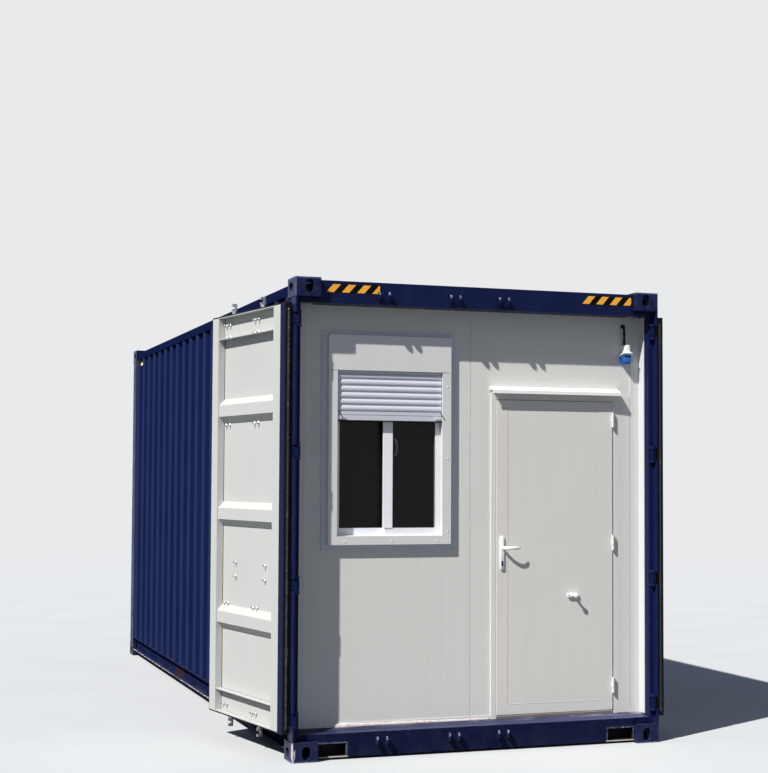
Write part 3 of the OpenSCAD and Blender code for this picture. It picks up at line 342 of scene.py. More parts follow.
# %% [markdown]
# The sill is knocked along its front edge and trodden on its top. Round its two cut-outs the
# paint is scuffed pale by forks and chains, the hollow behind is dark brown, dirt darkened as
# painted shade, and the thin lip below is rubbed to bare metal. Each place is a box, and the
# distance outside that box says how far a point is from it.

# %% Scuffed sill, with painted notch shade
SILL_FRONT, SILL_TOP = -2.987, 0.158
NOTCH_X, NOTCH_HALF, NOTCH_LOW, NOTCH_HIGH = 0.961, 0.090, 0.020, 0.097
LIP_Z, LIP_HALF = 0.0165, 0.0045


def outside_box(add, axis_values, centres, halves):
    """The largest of |value - centre| - half over the axes: below 0 inside, above 0 outside."""
    largest = -1000.0
    for value, centre, half in zip(axis_values, centres, halves):
        size = from_centre(add, value, centre)
        past = add("Math", (size, half), "SUBTRACT")
        largest = add("Math", (past, largest), "MAXIMUM")
    return largest


def knocked_front_with_notch_shade(add, point, paint):
    """Rubbed along the front edge, scuffed and chipped up to 12 mm round the cut-outs, bright
    on the lips below them, and dark brown behind: dirt darkened as painted shade."""
    x, y, z = add("SeparateXYZ", (point,)).outputs
    ragged = add("TexNoise", {"Vector": point, "Scale": 1000 / 70, "Detail": 6.0})
    edge = outside_box(add, (y, z), (SILL_FRONT, SILL_TOP), (0.0, 0.0))
    width = add("MapRange", (ragged, 0.46, 0.75, 0.001, 0.005))
    bare = add("Math", (edge, width), "LESS_THAN")
    paint = blended(add, bare, paint, "#454B6E")
    side = add("Math", (x,), "ABSOLUTE")
    middle_z, half_z = (NOTCH_LOW + NOTCH_HIGH) / 2, (NOTCH_HIGH - NOTCH_LOW) / 2
    notch = outside_box(add, (side, z), (NOTCH_X, middle_z), (NOTCH_HALF, half_z))
    band = add("MapRange", (notch, 0.003, 0.012, 0.75, 0.0))
    scuffs = add("MapRange", (ragged, 0.35, 0.65, 0.3, 1.0))
    paint = blended(add, (band, scuffs), paint, "#7C7F9C")
    chips = patches(add, point, 13, 0.59, 0.65, detail=4.0)
    paint = blended(add, (band, chips), paint, "#DAD7DC")
    lip = outside_box(add, (side, z), (NOTCH_X, LIP_Z), (NOTCH_HALF + 0.012, LIP_HALF))
    on_lip = add("MapRange", (lip, -0.001, 0.001, 0.85, 0.0))
    paint = blended(add, on_lip, paint, "#D8D0C2")
    # Painted shade with dirt: dark brown in the hollow behind the cut-outs' front.
    behind = add("MapRange", (y, SILL_FRONT + 0.004, SILL_FRONT + 0.008))
    below = add("MapRange", (z, 0.112, 0.116, 0.9, 0.0))
    return blended(add, (behind, below), paint, "#1C1413")


def scuffed_sill_with_notch_shade(add, point, paint):
    """The knocked front with its painted shade in the cut-outs, and on the top a pale veil that
    grows to the right, with scrapes 46 mm wide and four times as long in front of the entrance."""
    paint = knocked_front_with_notch_shade(add, point, paint)
    x, y, z = add("SeparateXYZ", (point,)).outputs
    on_top = add("MapRange", (z, SILL_TOP - 0.0015, SILL_TOP))
    along = add("MapRange", (x, -0.9, 0.9, 0.10, 0.42))
    paint = blended(add, (on_top, along), paint, "#5E6282")
    scraped = patches(add, point, 46, 0.50, 0.72, detail=6.0, stretch=(0.25, 1.0, 1.0))
    inner = add("MapRange", (y, -2.90, -2.86, 0.0, 0.8))
    doorway = add("MapRange", (x, -0.2, 0.3, 0.25, 1.0))
    return blended(add, (scraped, inner, doorway, on_top), paint, "#B5AEB2")


sill_paint = navy_enamel(
    "navy_enamel_sill", "#0B1335", dust=0.04, gloss=0.04, wear_and_painted_light=scuffed_sill_with_notch_shade)
print("sill steps:", len(sill_paint.node_tree.nodes))

# %% [markdown]
# The long rails wear along their lower flange, whose pale edge is also a painted highlight of
# its lit top and fades towards the door end as painted shade under the leaf, and the left one
# carries a patch of rust. The corrugated sides carry a painted sheen on their crests, and the
# keepers, which catch the cams of the lock rods, are worn bare at their tips, with a painted
# highlight on their upper part.

# %% Worn rails, crest sheen and keepers, with painted light
def painted_crest_sheen(add, point, paint):
    """A painted sheen: a little paler on the crests of the corrugation, past |x| = 1.205."""
    across = add("SeparateXYZ", (point,)).outputs[0]
    # Painted sheen: the crests are lightened towards #55608C.
    crest = add("MapRange", (from_centre(add, across), 1.203, 1.211, 0.0, 0.15))
    return blended(add, crest, paint, "#55608C")


def worn_tips_with_highlight(add, point, paint):
    """Paler at the front of each tip, y < -3.007, and above z = 0.110 or, in the upper row,
    2.698 higher: worn bare, and a painted highlight where light falls on their upper part."""
    x, y, z = add("SeparateXYZ", (point,)).outputs
    out = add("MapRange", (y, -3.016, -3.006, 1.0, 0.0))
    # Painted highlight with wear: only the upper part of each keeper's tip is made paler.
    row = add("Math", (z, 2.698), "MODULO")
    upper = add("MapRange", (row, 0.104, 0.114))
    ragged = patches(add, point, 9, 0.40, 0.58, detail=4.0)
    return blended(add, (out, ragged, upper), paint, "#9397B4")


def worn_rails_with_painted_light(add, point, paint):
    """Pale along the flange's lower outer edge, x = 1.215 and z = 0.058: worn bare, and a painted
    highlight of the flange's lit top, faded towards the door end as painted shade under the leaf;
    and rust round one place of the left web."""
    x, y, z = add("SeparateXYZ", (point,)).outputs
    side = add("Math", (x,), "ABSOLUTE")
    ragged = add("TexNoise", {"Vector": point, "Scale": 1000 / 60, "Detail": 5.0})
    flange = outside_box(add, (side, z), (1.215, 0.058), (0.0, 0.0))
    width = add("MapRange", (ragged, 0.35, 0.65, 0.001, 0.010))
    bare = add("Math", (flange, width), "LESS_THAN")
    # Painted shade: the pale edge fades to 0.15 near the door end, under the leaf.
    behind = add("MapRange", (y, -2.3, -1.7, 0.15, 1.0))
    paint = blended(add, (bare, behind), paint, "#A7A8BC")
    patch = outside_box(add, (x, y, z), (-1.19, 0.70, 0.10), (0.06, 0.16, 0.03))
    near = add("MapRange", (patch, -0.03, 0.10, 0.8, 0.0))
    spread = add("Math", (near, ragged), "MULTIPLY")
    rust = add("MapRange", (spread, 0.14, 0.36, 0.0, 0.85))
    return blended(add, rust, paint, "#3C2C30")


navy_finishes = {
    "side_paint": navy_enamel(
        "navy_enamel_side", "#111B40", dust=0.03, gloss=0.0, wear_and_painted_light=painted_crest_sheen),
    "roof_paint": navy_enamel("navy_enamel_roof", "#18224C", dust=0.12, roughness=0.45),
    "frame_paint": navy_enamel("navy_enamel_posts", "#131C42", dust=0.03, gloss=0.05),
    "rail_paint": navy_enamel(
        "navy_enamel_rails", "#121A3E", dust=0.05, gloss=0.0, wear_and_painted_light=worn_rails_with_painted_light),
    "header_paint": navy_enamel("navy_enamel_header", "#111A40", dust=0.04),
    "keeper_paint": navy_enamel("navy_enamel_keepers", "#10183A", dust=0.06, wear_and_painted_light=worn_tips_with_highlight),
    "sill_paint": sill_paint, "casting_paint": casting_paint, "underbody_paint": underbody_paint,
}
print("navy finishes:", len(navy_finishes))

# %% [markdown]
# The container doors are two-tone: white enamel on the side that faces the room when they are
# shut, and navy on the outside and on the edges. A leaf is one solid, so its own normals tell
# the sides apart. The leaf hangs folded back 260 degrees, and its inner side then points
# along one fixed direction of the object's space. Depth and width are measured from the
# hinge pin, because the pin is the one line that folding leaves in place.

# %% Two-tone leaf enamel
FOLD = math.radians(260)
PIN_X, PIN_Y = 1190.0, -3005.0
HINGE_EDGE, LEAF_FRONT = 1160.0, -2978.0
NAVY_EDGE, NAVY_STRIPE = 6.0, 67.0


def leaf_enamel(name, side):
    """White where normal · inner > 0.3, or NAVY_EDGE behind the outer face where the normal
    isn't the outer one; navy elsewhere, and up to NAVY_STRIPE from the hinge edge."""
    material, add, point = new_finish(name)
    normal = add("TexCoord").outputs["Normal"]
    inner = (-math.sin(FOLD) * side, math.cos(FOLD), 0.0)
    along = (-math.cos(FOLD) * side, -math.sin(FOLD), 0.0)
    pin = (side * PIN_X * MM, PIN_Y * MM, 0.0)
    from_pin = add("VectorMath", (point, pin), "SUBTRACT")
    facing, depth, across = (
        add("VectorMath", pair, "DOT_PRODUCT").outputs["Value"]
        for pair in ((normal, inner), (from_pin, inner), (from_pin, along)))
    edge_depth = (LEAF_FRONT - PIN_Y + NAVY_EDGE) * MM
    stripe_width = (PIN_X - HINGE_EDGE + NAVY_STRIPE) * MM
    inside = add("Math", (facing, 0.3), "GREATER_THAN")
    outside = add("Math", (facing, -0.3), "LESS_THAN")
    deep = add("Math", (depth, edge_depth), "GREATER_THAN")
    edges = add("Math", (deep, outside), "SUBTRACT", use_clamp=True)
    white = add("Math", (inside, edges), "MAXIMUM")
    past_stripe = add("Math", (across, stripe_width), "GREATER_THAN")
    lumps = patches(add, point, 500, 0.3, 0.75)
    pale = blended(add, lumps, "#BEBFBD", "#C2C3C1")
    specks = patches(add, point, 11, 0.70, 0.74, detail=2.0, most=0.22)
    pale = blended(add, specks, pale, "#8F8C86")
    streaks = patches(add, point, 38, 0.55, 0.8, most=0.16, stretch=(1.0, 1.0, 0.05))
    pale = blended(add, streaks, pale, "#B7B4AC")
    navy = blended(add, lumps, "#0E1434", "#11183C")
    peel = grained(add, point, 9, 2.0, 0.12, 0.0006)
    paint = blended(add, (white, past_stripe), navy, pale)
    return finished(material, paint, 0.45, 0.04, Normal=peel)


own_finishes = {
    "left_leaf": leaf_enamel("two_tone_enamel_left", -1),
    "right_leaf": leaf_enamel("two_tone_enamel_right", 1),
}
print("leaf finishes:", sorted(own_finishes))

# %% [markdown]
# The cabin wall, its cover trims and the entrance door are thin steel sheet with a factory
# polyester coat, grey white and satin. Sandwich panels carry faint rolled lines, here every
# ten centimetres, and rain leaves the palest streaks. The lines are too shallow to model, so
# they are relief in the finish. The lining panels inside have them twice as far apart.

# %% Coated sheet
def coated_sheet(name, code, line_pitch=None, roughness=0.42):
    """Polyester-coated sheet: faint streaks 55 mm wide, and rolled lines line_pitch millimetres
    apart across X, pressed in where x folded on itself comes below 3.5 mm."""
    material, add, point = new_finish(name)
    paint = blended(add, patches(add, point, 900, 0.3, 0.7), code, shade(code, 1.03))
    streaks = patches(add, point, 55, 0.5, 0.85, most=0.10, stretch=(1.0, 1.0, 0.04))
    paint = blended(add, streaks, paint, "#AFADA6")
    grain = add("TexNoise", {"Vector": point, "Scale": 1000 / 6, "Detail": 2.0})
    height = add("Math", (grain, 0.12), "MULTIPLY")
    if line_pitch:
        x = add("SeparateXYZ", (point,)).outputs[0]
        folded = add("Math", (x, line_pitch * MM / 2), "PINGPONG")
        line = add("MapRange", (folded, 0.0, 0.0035, -1.0, 0.0))
        height = add("Math", (height, line), "ADD")
    bump = add("Bump", {"Height": height, "Strength": 0.24, "Distance": 0.0010})
    return finished(material, paint, roughness, 0.25, 1.48, Normal=bump)


sheet_finishes = {
    "wall_panel": coated_sheet("coated_sheet_wall", "#DCDBD7", line_pitch=100),
    "trim_paint": coated_sheet("coated_sheet_trims", "#D2D3D3"),
    "door_frame_paint": coated_sheet("coated_sheet_door_frame", "#DBDAD7"),
    "entrance_paint": coated_sheet("coated_sheet_door", "#DEDBD6", line_pitch=100),
    "canopy_paint": coated_sheet("coated_sheet_canopy", "#FAFAF9", roughness=0.35),
    "lining_white": coated_sheet("coated_sheet_lining", "#DEDDD8", line_pitch=200),
}
# The surround's bluer colour is a painted reflection of the sky in its shade.
own_finishes["window_surround"] = coated_sheet("coated_sheet_surround_sky_reflection", "#CFD4E0")
print("sheet finishes:", len(sheet_finishes) + 1)

# %% [markdown]
# The window is white rigid PVC, welded at its corners, and the shutter's case and guides are
# the same plastic. The slats are rolled aluminium with a white stoving enamel, a little
# brighter and glossier. All of them are nearly flat in colour, so the finish lies in a fine
# moulded texture, slightly darker lumps and thin patches of grime.

# %% Plastics and slats
def moulded_plastic(name, code, roughness=0.32, gloss=0.5):
    """Moulded or extruded plastic: a texture 4 mm wide, slightly darker lumps 160 mm wide, and
    thin grime."""
    material, add, point = new_finish(name)
    paint = blended(add, patches(add, point, 160, 0.3, 0.7), code, shade(code, 0.96))
    grime = patches(add, point, 35, 0.62, 0.85, detail=5.0, most=0.12)
    paint = blended(add, grime, paint, "#8C8880")
    skin = grained(add, point, 4.0, 3.0, 0.15, 0.0003)
    return finished(material, paint, roughness, gloss, 1.52, Normal=skin)


plastic_finishes = {
    "window_plastic": moulded_plastic("rigid_pvc_window", "#E9EAF0"),
    "shutter_case": moulded_plastic("rigid_pvc_case", "#DCDCDA"),
    "shutter_slats": moulded_plastic("enamelled_slats", "#CFD1DB", roughness=0.28),
    "inlet_blue": moulded_plastic("polyamide_blue", "#1B5EAD", roughness=0.38),
    "inlet_white": moulded_plastic("polyamide_white", "#FAFAFA", roughness=0.35),
    "furniture_white": moulded_plastic("powder_coat_white", "#F2F2F2", roughness=0.3),
}
furniture_white = plastic_finishes["furniture_white"]
print("plastic finishes:", len(plastic_finishes))

# %% [markdown]
# Seals and the inlet's lead are black EPDM rubber: matt, a little grey where it is dusty.
# The lock rods and their brackets are hot-dip galvanised steel, with the spangle that zinc
# leaves, a centimetre across. The pane is tinted float glass, and its near-black colour is
# painted shade of the dark room behind; the floor is oiled container plywood, a hardwood veneer
# with long grain.

# %% Rubber, zinc, glass and plywood
rubber = mottled(
    "epdm_rubber", "#0C0C0F", "#45433F", (60, 0.45, 0.8, 5.0, 0.16), (3, 3.0, 0.3, 0.0004),
    0.62, 0.15)
strip_rubber = mottled(
    "glossy_seal_lip", "#17171A", "#3A3A40", (40, 0.45, 0.7, 5.0), (5, 3.0, 0.3, 0.0005), 0.3)

zinc, add, point = new_finish("galvanised_steel")
spangle = add("TexVoronoi", {"Vector": point, "Scale": 1000 / 11}).outputs["Color"]
tone = add("SeparateColor", (spangle,))
grey = blended(add, tone, "#9EA1A4", "#BCBEC0")
chalky = patches(add, point, 45, 0.5, 0.75, detail=5.0)
rough = add("MapRange", (tone, 0.0, 1.0, 0.38, 0.6))
finished(zinc, blended(add, chalky, grey, "#A9A8A4"), rough, Metallic=0.85)

# The pane's near-black colour is painted shade of the dark room behind it.
glass, add, point = new_finish("tinted_float_glass")
smear = patches(add, point, 140, 0.4, 0.8, detail=4.0)
haze = add("MapRange", (smear, 0.0, 1.0, 0.02, 0.07))
finished(glass, blended(add, smear, "#08090C", "#0E1014"), haze, 0.36, 1.52, Alpha=0.30)

plywood, add, point = new_finish("oiled_plywood")
long_grain = add("Mapping", {"Vector": point, "Scale": (1.0, 0.05, 1.0)})
fibre = add("TexNoise", {
    "Vector": long_grain, "Scale": 1000 / 9, "Detail": 6.0, "Distortion": 0.6})
wood = blended(add, fibre, "#5E3B22", "#8F6642")
along = add("SeparateXYZ", (point,)).outputs[1]
seam = add("Math", (along, 0.6), "PINGPONG")
gap = add("Math", (seam, 0.002), "LESS_THAN")
bump = add("Bump", {"Height": fibre, "Strength": 0.2, "Distance": 0.0005})
finished(plywood, blended(add, gap, wood, "#2A1B12"), 0.5, 0.35, Normal=bump)
print("rubber, zinc, glass and plywood are ready")

# %% [markdown]
# Each CAD node says in the record which finish its maker gave it, so one table from the
# record's slot to a material dresses them all. Three nodes have a finish of their own: the
# two leaves, because each has its own inner direction, and the window's surround, whose
# bluer colour is a painted reflection of the sky in its shade.

# %% Dress the CAD nodes
slot_finish = {
    **navy_finishes, **sheet_finishes, **plastic_finishes, "cable_rubber": rubber,
    "door_rubber": rubber, "rod_zinc": zinc, "pane_glass": glass, "floor_plywood": plywood,
}
node_slot = {part["node"]: part["material_slot"] for part in frame["record"]["subparts"]}
for node, piece in frame["nodes"].items():
    piece.data.materials.clear()
    piece.data.materials.append(own_finishes.get(node) or slot_finish[node_slot[node]])
print("dressed", len(frame["nodes"]), "nodes")

# %% [markdown]
# All new pieces are grids of points. A solid is a stack of rings from bottom to top: a bolt
# head, a rounded pad and a tube are all such stacks. Blender's own bevelled cubes and curves
# could make them too, but a formula keeps every size in sight.

# %% Shapes from rings
def grid_quads(rows, columns, close_rows=False, close_columns=False):
    """Quads of a grid numbered row by row; a closed direction joins its last line to its first."""
    r = np.arange(rows if close_rows else rows - 1)
    c = np.arange(columns if close_columns else columns - 1)
    r, c = np.meshgrid(r, c, indexing="ij")
    r2, c2 = (r + 1) % rows, (c + 1) % columns
    corners = [r * columns + c, r * columns + c2, r2 * columns + c2, r2 * columns + c]
    return np.stack(corners, -1).reshape(-1, 4)


def stacked(rings):
    """A closed solid through rings of equal counts, bottom to top, each counter-clockwise
    seen from above."""
    rings = np.asarray(rings, float)
    rows, columns = rings.shape[:2]
    around = np.arange(columns)
    caps = [around[None, ::-1], around[None] + (rows - 1) * columns]
    return rings.reshape(-1, 3), [grid_quads(rows, columns, close_columns=True), *caps]


def turned(profile, sides):
    """A solid of revolution about Z: (r cos a, r sin a, h) for each pair (r, h) of the profile."""
    radius, height = np.asarray(profile, float).T
    angle = np.linspace(0, 2 * np.pi, sides, endpoint=False)
    circle = np.stack([np.cos(angle), np.sin(angle)], -1)
    flat = radius[:, None, None] * circle[None]
    level = np.broadcast_to(height[:, None, None], (len(radius), sides, 1))
    return stacked(np.concatenate([flat, level], -1))


print("a turned nut has", len(turned([(10.5, 0.0), (10.5, 9.0), (9.2, 10.5)], 6)[0]), "points")

# %% [markdown]
# A pad is two rounded rectangles with a broken upper edge. A tube carries a ring along a
# path, square to it, and its radius may change on the way.

# %% Pads and tubes
def rounded_rectangle(width, height, radius, steps=4):
    """Corner centre plus radius · (cos a, sin a), a quarter turn at each corner,
    counter-clockwise."""
    quarter = np.linspace(0, np.pi / 2, steps)
    starts = np.array([0, 1, 2, 3]) * np.pi / 2
    angle = starts[:, None] + quarter[None]
    sign = np.array([[1, 1], [-1, 1], [-1, -1], [1, -1]])
    centre = sign * (np.array([width, height]) / 2 - radius)
    arc = radius * np.stack([np.cos(angle), np.sin(angle)], -1)
    return (centre[:, None] + arc).reshape(-1, 2)


def pad(width, height, thickness, radius, chamfer):
    """A rounded plate lying on Z = 0, its upper edge broken by a chamfer."""
    lower = rounded_rectangle(width, height, radius)
    upper = rounded_rectangle(
        width - 2 * chamfer, height - 2 * chamfer, max(radius - chamfer, 0.2))
    levels = ((lower, 0.0), (lower, thickness - chamfer), (upper, thickness))
    return stacked([np.column_stack([ring, np.full(len(ring), z)]) for ring, z in levels])


def tube(path, radius, sides=8, squeeze=1.0):
    """A round bar along a path: point = p + r (a cos t + squeeze b sin t), with a and b square
    to the path."""
    path = np.asarray(path, float)
    heading = np.gradient(path, axis=0)
    heading /= np.linalg.norm(heading, axis=1)[:, None]
    span = path.max(0) - path.min(0)
    reference = np.eye(3)[np.argmin(span)]
    a = np.cross(heading, reference)
    a /= np.linalg.norm(a, axis=1)[:, None]
    b = np.cross(heading, a)
    t = np.linspace(0, 2 * np.pi, sides, endpoint=False)
    radius = np.broadcast_to(np.asarray(radius, float), (len(path),))[:, None, None]
    ring = a[:, None] * np.cos(t)[None, :, None] + squeeze * b[:, None] * np.sin(t)[None, :, None]
    return stacked(path[:, None] + radius * ring)


print("a pad has", len(pad(30, 20, 5, 4, 1)[0]), "points")

# %% [markdown]
# Small parts that repeat are copied as whole arrays: a place for each copy, and three axes
# that say where the shape's own x, y and z point. Most parts stand on a face that looks to
# the door end. One function then puts points and faces into a mesh on its body.

# %% Copies and pieces
FACING_FRONT = ((1, 0, 0), (0, 0, 1), (0, -1, 0))


def copied(shape, places, axes=FACING_FRONT):
    """Copies of a small shape: each point becomes place + x·axes[0] + y·axes[1] + z·axes[2]."""
    points, faces = shape
    places, axes = np.atleast_2d(np.asarray(places, float)), np.asarray(axes, float)
    moved = places[:, None] + (points @ axes)[None]
    shift = np.arange(len(places))[:, None, None] * len(points)
    return moved.reshape(-1, 3), [(f[None] + shift).reshape(-1, f.shape[1]) for f in faces]


def joined(*shapes):
    """Several shapes as one list of points and faces."""
    counts = np.cumsum([0] + [len(points) for points, faces in shapes])
    faces = [f + start for (points, group), start in zip(shapes, counts) for f in group]
    return np.concatenate([points for points, group in shapes]), faces


def mesh_piece(name, shape, material, body, smooth=False):
    """One object from points in millimetres and faces, riding on a body."""
    points, faces = shape
    mesh = bpy.data.meshes.new(name)
    quads_and_caps = [face for group in faces for face in group.tolist()]
    mesh.from_pydata((points * MM).tolist(), [], quads_and_caps)
    mesh.shade_smooth() if smooth else mesh.shade_flat()
    mesh.materials.append(material)
    piece = bpy.data.objects.new(name, mesh)
    scene.collection.objects.link(piece)
    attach(piece, body)
    print(name, len(mesh.polygons), "faces")
    return piece


print("three copies have", len(copied(turned([(5, 0), (4, 2)], 6), np.eye(3))[0]), "points")

# %% [markdown]
# The lock gear's brackets and catches are bolted through the container doors, so nuts show on
# the inner side. Bolts are placed in the closed door's own plan: x from the cabin's middle, y
# through its thickness. Folding turns that plan about the hinge pin. The left leaf is the
# mirror image, so its faces are turned round to keep facing outwards.

# %% Bolts through the leaves
NUT = [(10.5, 0.0), (10.5, 9.0), (9.2, 10.5)]
WASHER = [(14.0, 0.0), (14.0, 2.0), (13.2, 2.6)]
THREAD_END = [(6.0, 9.0), (6.0, 23.0), (5.0, 24.5)]
INWARD = ((-1, 0, 0), (0, 0, 1), (0, 1, 0))
SHEET_BACK, RAIL_BACK = LEAF_FRONT + 2, LEAF_FRONT + 4
FOOT_RAIL_TOP, HEAD_RAIL_FOOT = 319.0, 2587.0
BRACKET_LEVELS, CATCH_LEVELS = (223.0, 876.0, 2030.0, 2603.0, 2683.0), (1055.0, 1145.0)
BESIDE_ROD, CATCH_AWAY = np.array([-30.0, 30.0]), 150.0
bolt_zinc = mottled(
    "zinc_plated_bolts", "#C6C8CA", "#A7A9AC", (20, 0.35, 0.7), (4, 4.0, 0.2, 0.0003), 0.38,
    Metallic=0.9)


def on_leaf(shape, side):
    """Turns closed-leaf points by 260 degrees about the pin; side -1 mirrors them to the left."""
    points, faces = shape
    x, y = points[:, 0] - PIN_X, points[:, 1] - PIN_Y
    turned_x = PIN_X + x * math.cos(FOLD) - y * math.sin(FOLD)
    turned_y = PIN_Y + x * math.sin(FOLD) + y * math.cos(FOLD)
    folded = np.column_stack([side * turned_x, turned_y, points[:, 2]])
    return folded, faces if side > 0 else [f[:, ::-1] for f in faces]


def through_bolts(x, z):
    """Washer, hexagon nut and thread end, standing inwards from the leaf's sheet at each (x, z)."""
    on_rail = (z < FOOT_RAIL_TOP) | (z > HEAD_RAIL_FOOT)
    places = np.stack([x, np.where(on_rail, RAIL_BACK, SHEET_BACK), z], -1).reshape(-1, 3)
    shape = joined(turned(WASHER, 12), turned(NUT, 6), turned(THREAD_END, 8))
    return copied(shape, places, INWARD)


def lock_gear_bolts(rods):
    """Two bolts beside each rod at each bracket level, and two behind each handle's catch."""
    rods = np.asarray(rods, float)
    brackets = through_bolts(*np.meshgrid((rods[:, None] + BESIDE_ROD).ravel(), BRACKET_LEVELS))
    catches = through_bolts(*np.meshgrid(rods + CATCH_AWAY, CATCH_LEVELS))
    return joined(brackets, catches)


mesh_piece("left_leaf_bolts", on_leaf(lock_gear_bolts((650, 185)), -1), bolt_zinc, "left_door")
mesh_piece("right_leaf_bolts", on_leaf(lock_gear_bolts((142,)), 1), bolt_zinc, "right_door")

# %% [markdown]
# The black seal along a leaf's hinge edge is held by a narrow strip with a rivet every few
# centimetres, painted over with the door. Between two rivets the strip's glossy rubber lip
# bulges a little, and where the light catches the bulges they read as a faint dotted line
# beside the post. A bump could not do that, because the bulges show in outline.

# %% Seal strips with rivets
RIVET_PITCH, FIRST_RIVET, LAST_RIVET = 66.0, 210.0, 2700.0
RIVET = [(4.5, 0.0), (4.5, 1.2), (3.2, 2.4), (1.0, 2.9)]
EDGEWISE = ((0, 1, 0), (0, 0, 1), (1, 0, 0))
LIP_PROFILE = ((17, 0, 0), (17, 2.0, 0.9), (24, 3.0, 0.6), (34, 2.0, 0.0), (34, 0, 0))
rivet_steel = mottled("painted_rivets", "#3A3A40", "#77777C", (25, 0.4, 0.7), None, 0.5, 0.3)


def seal_lip(z):
    """A strip along Z: at each profile point (across, out, lift) it stands out by
    out · (1 + lift · bulge), and bulge = 0.5 - 0.5 cos of the way between two rivets."""
    bulge = 0.5 - 0.5 * np.cos(2 * np.pi * (z - FIRST_RIVET) / RIVET_PITCH)
    lines = [
        (HINGE_EDGE + 5 + out * (1 + lift * bulge), np.full_like(z, LEAF_FRONT + across), z)
        for across, out, lift in LIP_PROFILE]
    return stacked(np.transpose(lines, (2, 0, 1)))


lip = seal_lip(np.arange(188.0, 2718.0, 11.0))
rivet_z = np.arange(FIRST_RIVET, LAST_RIVET, RIVET_PITCH)
rivet_row = np.zeros((len(rivet_z), 3)) + (HINGE_EDGE + 7.0, LEAF_FRONT + 26.0, 0.0)
rivet_row[:, 2] = rivet_z
rivets = copied(turned(RIVET, 10), rivet_row, EDGEWISE)
for word, side in (("left", -1), ("right", 1)):
    body = word + "_door"
    mesh_piece(word + "_seal_strip", on_leaf(lip, side), strip_rubber, body, smooth=True)
    mesh_piece(word + "_seal_rivets", on_leaf(rivets, side), rivet_steel, body, smooth=True)

# %% [markdown]
# High-cube containers carry hazard stripes near their upper corners: orange bars slanting up
# to the right on a black film. The film is a thin sheet, so each bar is a grid of points laid
# on the steel by a function of its own. On the side wall that function follows the corrugated
# sheet, where the film has kept only two faded remnants of its bars.

# %% Hazard stripes
film_black = moulded_plastic("black_film", "#050506", roughness=0.55, gloss=0.06)
film_orange = moulded_plastic("orange_film", "#FFB545", roughness=0.5, gloss=0.2)
film_remnant = moulded_plastic("faded_film", "#E8E0CC", roughness=0.6, gloss=0.2)
BAR_PITCH, BAR_WIDTH, BAR_SLANT, NARROWEST_BAR = 97.0, 48.0, 43.0, 20.0
FILM_LEFT, FILM_RIGHT, FILM_EDGE = 3.0, 8.0, 4.0
FILM_LIFT, BAR_LIFT = 0.5, 0.9
FRONT_PLANE = -2987.0
LEFT_MARK, RIGHT_MARK = (-1014.0, -673.0, 2814.0, 2863.0), (694.0, 1043.0, 2812.0, 2863.0)
SIDE_START, SIDE_END, SIDE_LOW, SIDE_HIGH = -2851.0, -2445.0, 2732.0, 2796.0
REMNANTS = ((-2700.0, 26.0, 2742.0, 2784.0), (-2560.0, 20.0, 2748.0, 2776.0))
SHEET_PITCH, SHEET_START, SHEET_COUNT = 278.0, -2766.5, 20
folds = np.arange(SHEET_COUNT)[:, None] * SHEET_PITCH + np.array([0, 68, 138, 206])
folds_y = SHEET_START + folds.ravel()
folds_x = 1213.0 - np.tile([0.0, 36.0, 36.0, 0.0], SHEET_COUNT)


def film(start, width, low, high, slant, end, lay_on, lift):
    """A slanted patch: u = start + width·s + slant·t, cut off at end, v from low to high."""
    s, t = np.meshgrid(np.linspace(0, 1, 17), np.linspace(0, 1, 7))
    u = np.minimum(start + width * s + slant * t, end)
    return lay_on(u, low + (high - low) * t, lift).reshape(-1, 3), [grid_quads(7, 17)]


def on_header(u, v, lift):
    """The header's front plane; the film stands off it by lift."""
    return np.stack([u, np.full_like(u, FRONT_PLANE - lift), v], -1)


def on_left_side(u, v, lift):
    """The left wall's corrugated face; u runs towards the door end, so y = -u."""
    return np.stack([-np.interp(-u, folds_y, folds_x) - 1.6 * lift, -u, v], -1)


def hazard_mark(start, end, low, high):
    """The black film and its orange bars from start to end, the last bar cut off upright."""
    backing = film(
        start - FILM_LEFT, end - start + FILM_LEFT + FILM_RIGHT, low - FILM_EDGE,
        high + FILM_EDGE, BAR_SLANT, end + FILM_RIGHT, on_header, FILM_LIFT)
    bars = [
        film(place, BAR_WIDTH, low, high, BAR_SLANT, end, on_header, BAR_LIFT)
        for place in np.arange(start, end - NARROWEST_BAR, BAR_PITCH)]
    return backing, joined(*bars)


(left_backing, left_bars), (right_backing, right_bars) = (
    hazard_mark(*mark) for mark in (LEFT_MARK, RIGHT_MARK))
side_width = SIDE_END - SIDE_START
side_film = film(
    SIDE_START, side_width, SIDE_LOW, SIDE_HIGH, 0.0, SIDE_END, on_left_side, FILM_LIFT)
remnants = [film(*remnant, 22.0, SIDE_END, on_left_side, BAR_LIFT) for remnant in REMNANTS]
mesh_piece("hazard_film", joined(left_backing, right_backing, side_film), film_black, "shell")
mesh_piece("hazard_bars", joined(left_bars, right_bars), film_orange, "shell")
mesh_piece("film_remnants", joined(*remnants), film_remnant, "shell")

# %% [markdown]
# The fitters closed the joint between the cabin wall and the sill with a bead of sealant,
# pressed by hand: it waves, thickens and thins. A tube whose radius and place follow a few
# sine waves gives that, and it lies half in the corner.

# %% Sealant along the sill
BEAD_STATIONS, BEAD_RADII = (-1166.0, -900.0, -300.0, 117.0), (8.0, 13.0, 9.0, 7.0)
BEAD_Y, BEAD_Z = -2847.0, 172.0
sealant = mottled(
    "beige_sealant", "#DDD3CF", "#B9AEA9", (30, 0.35, 0.7, 5.0), (9, 3.0, 0.5, 0.0015),
    0.55, 0.35, 1.45)


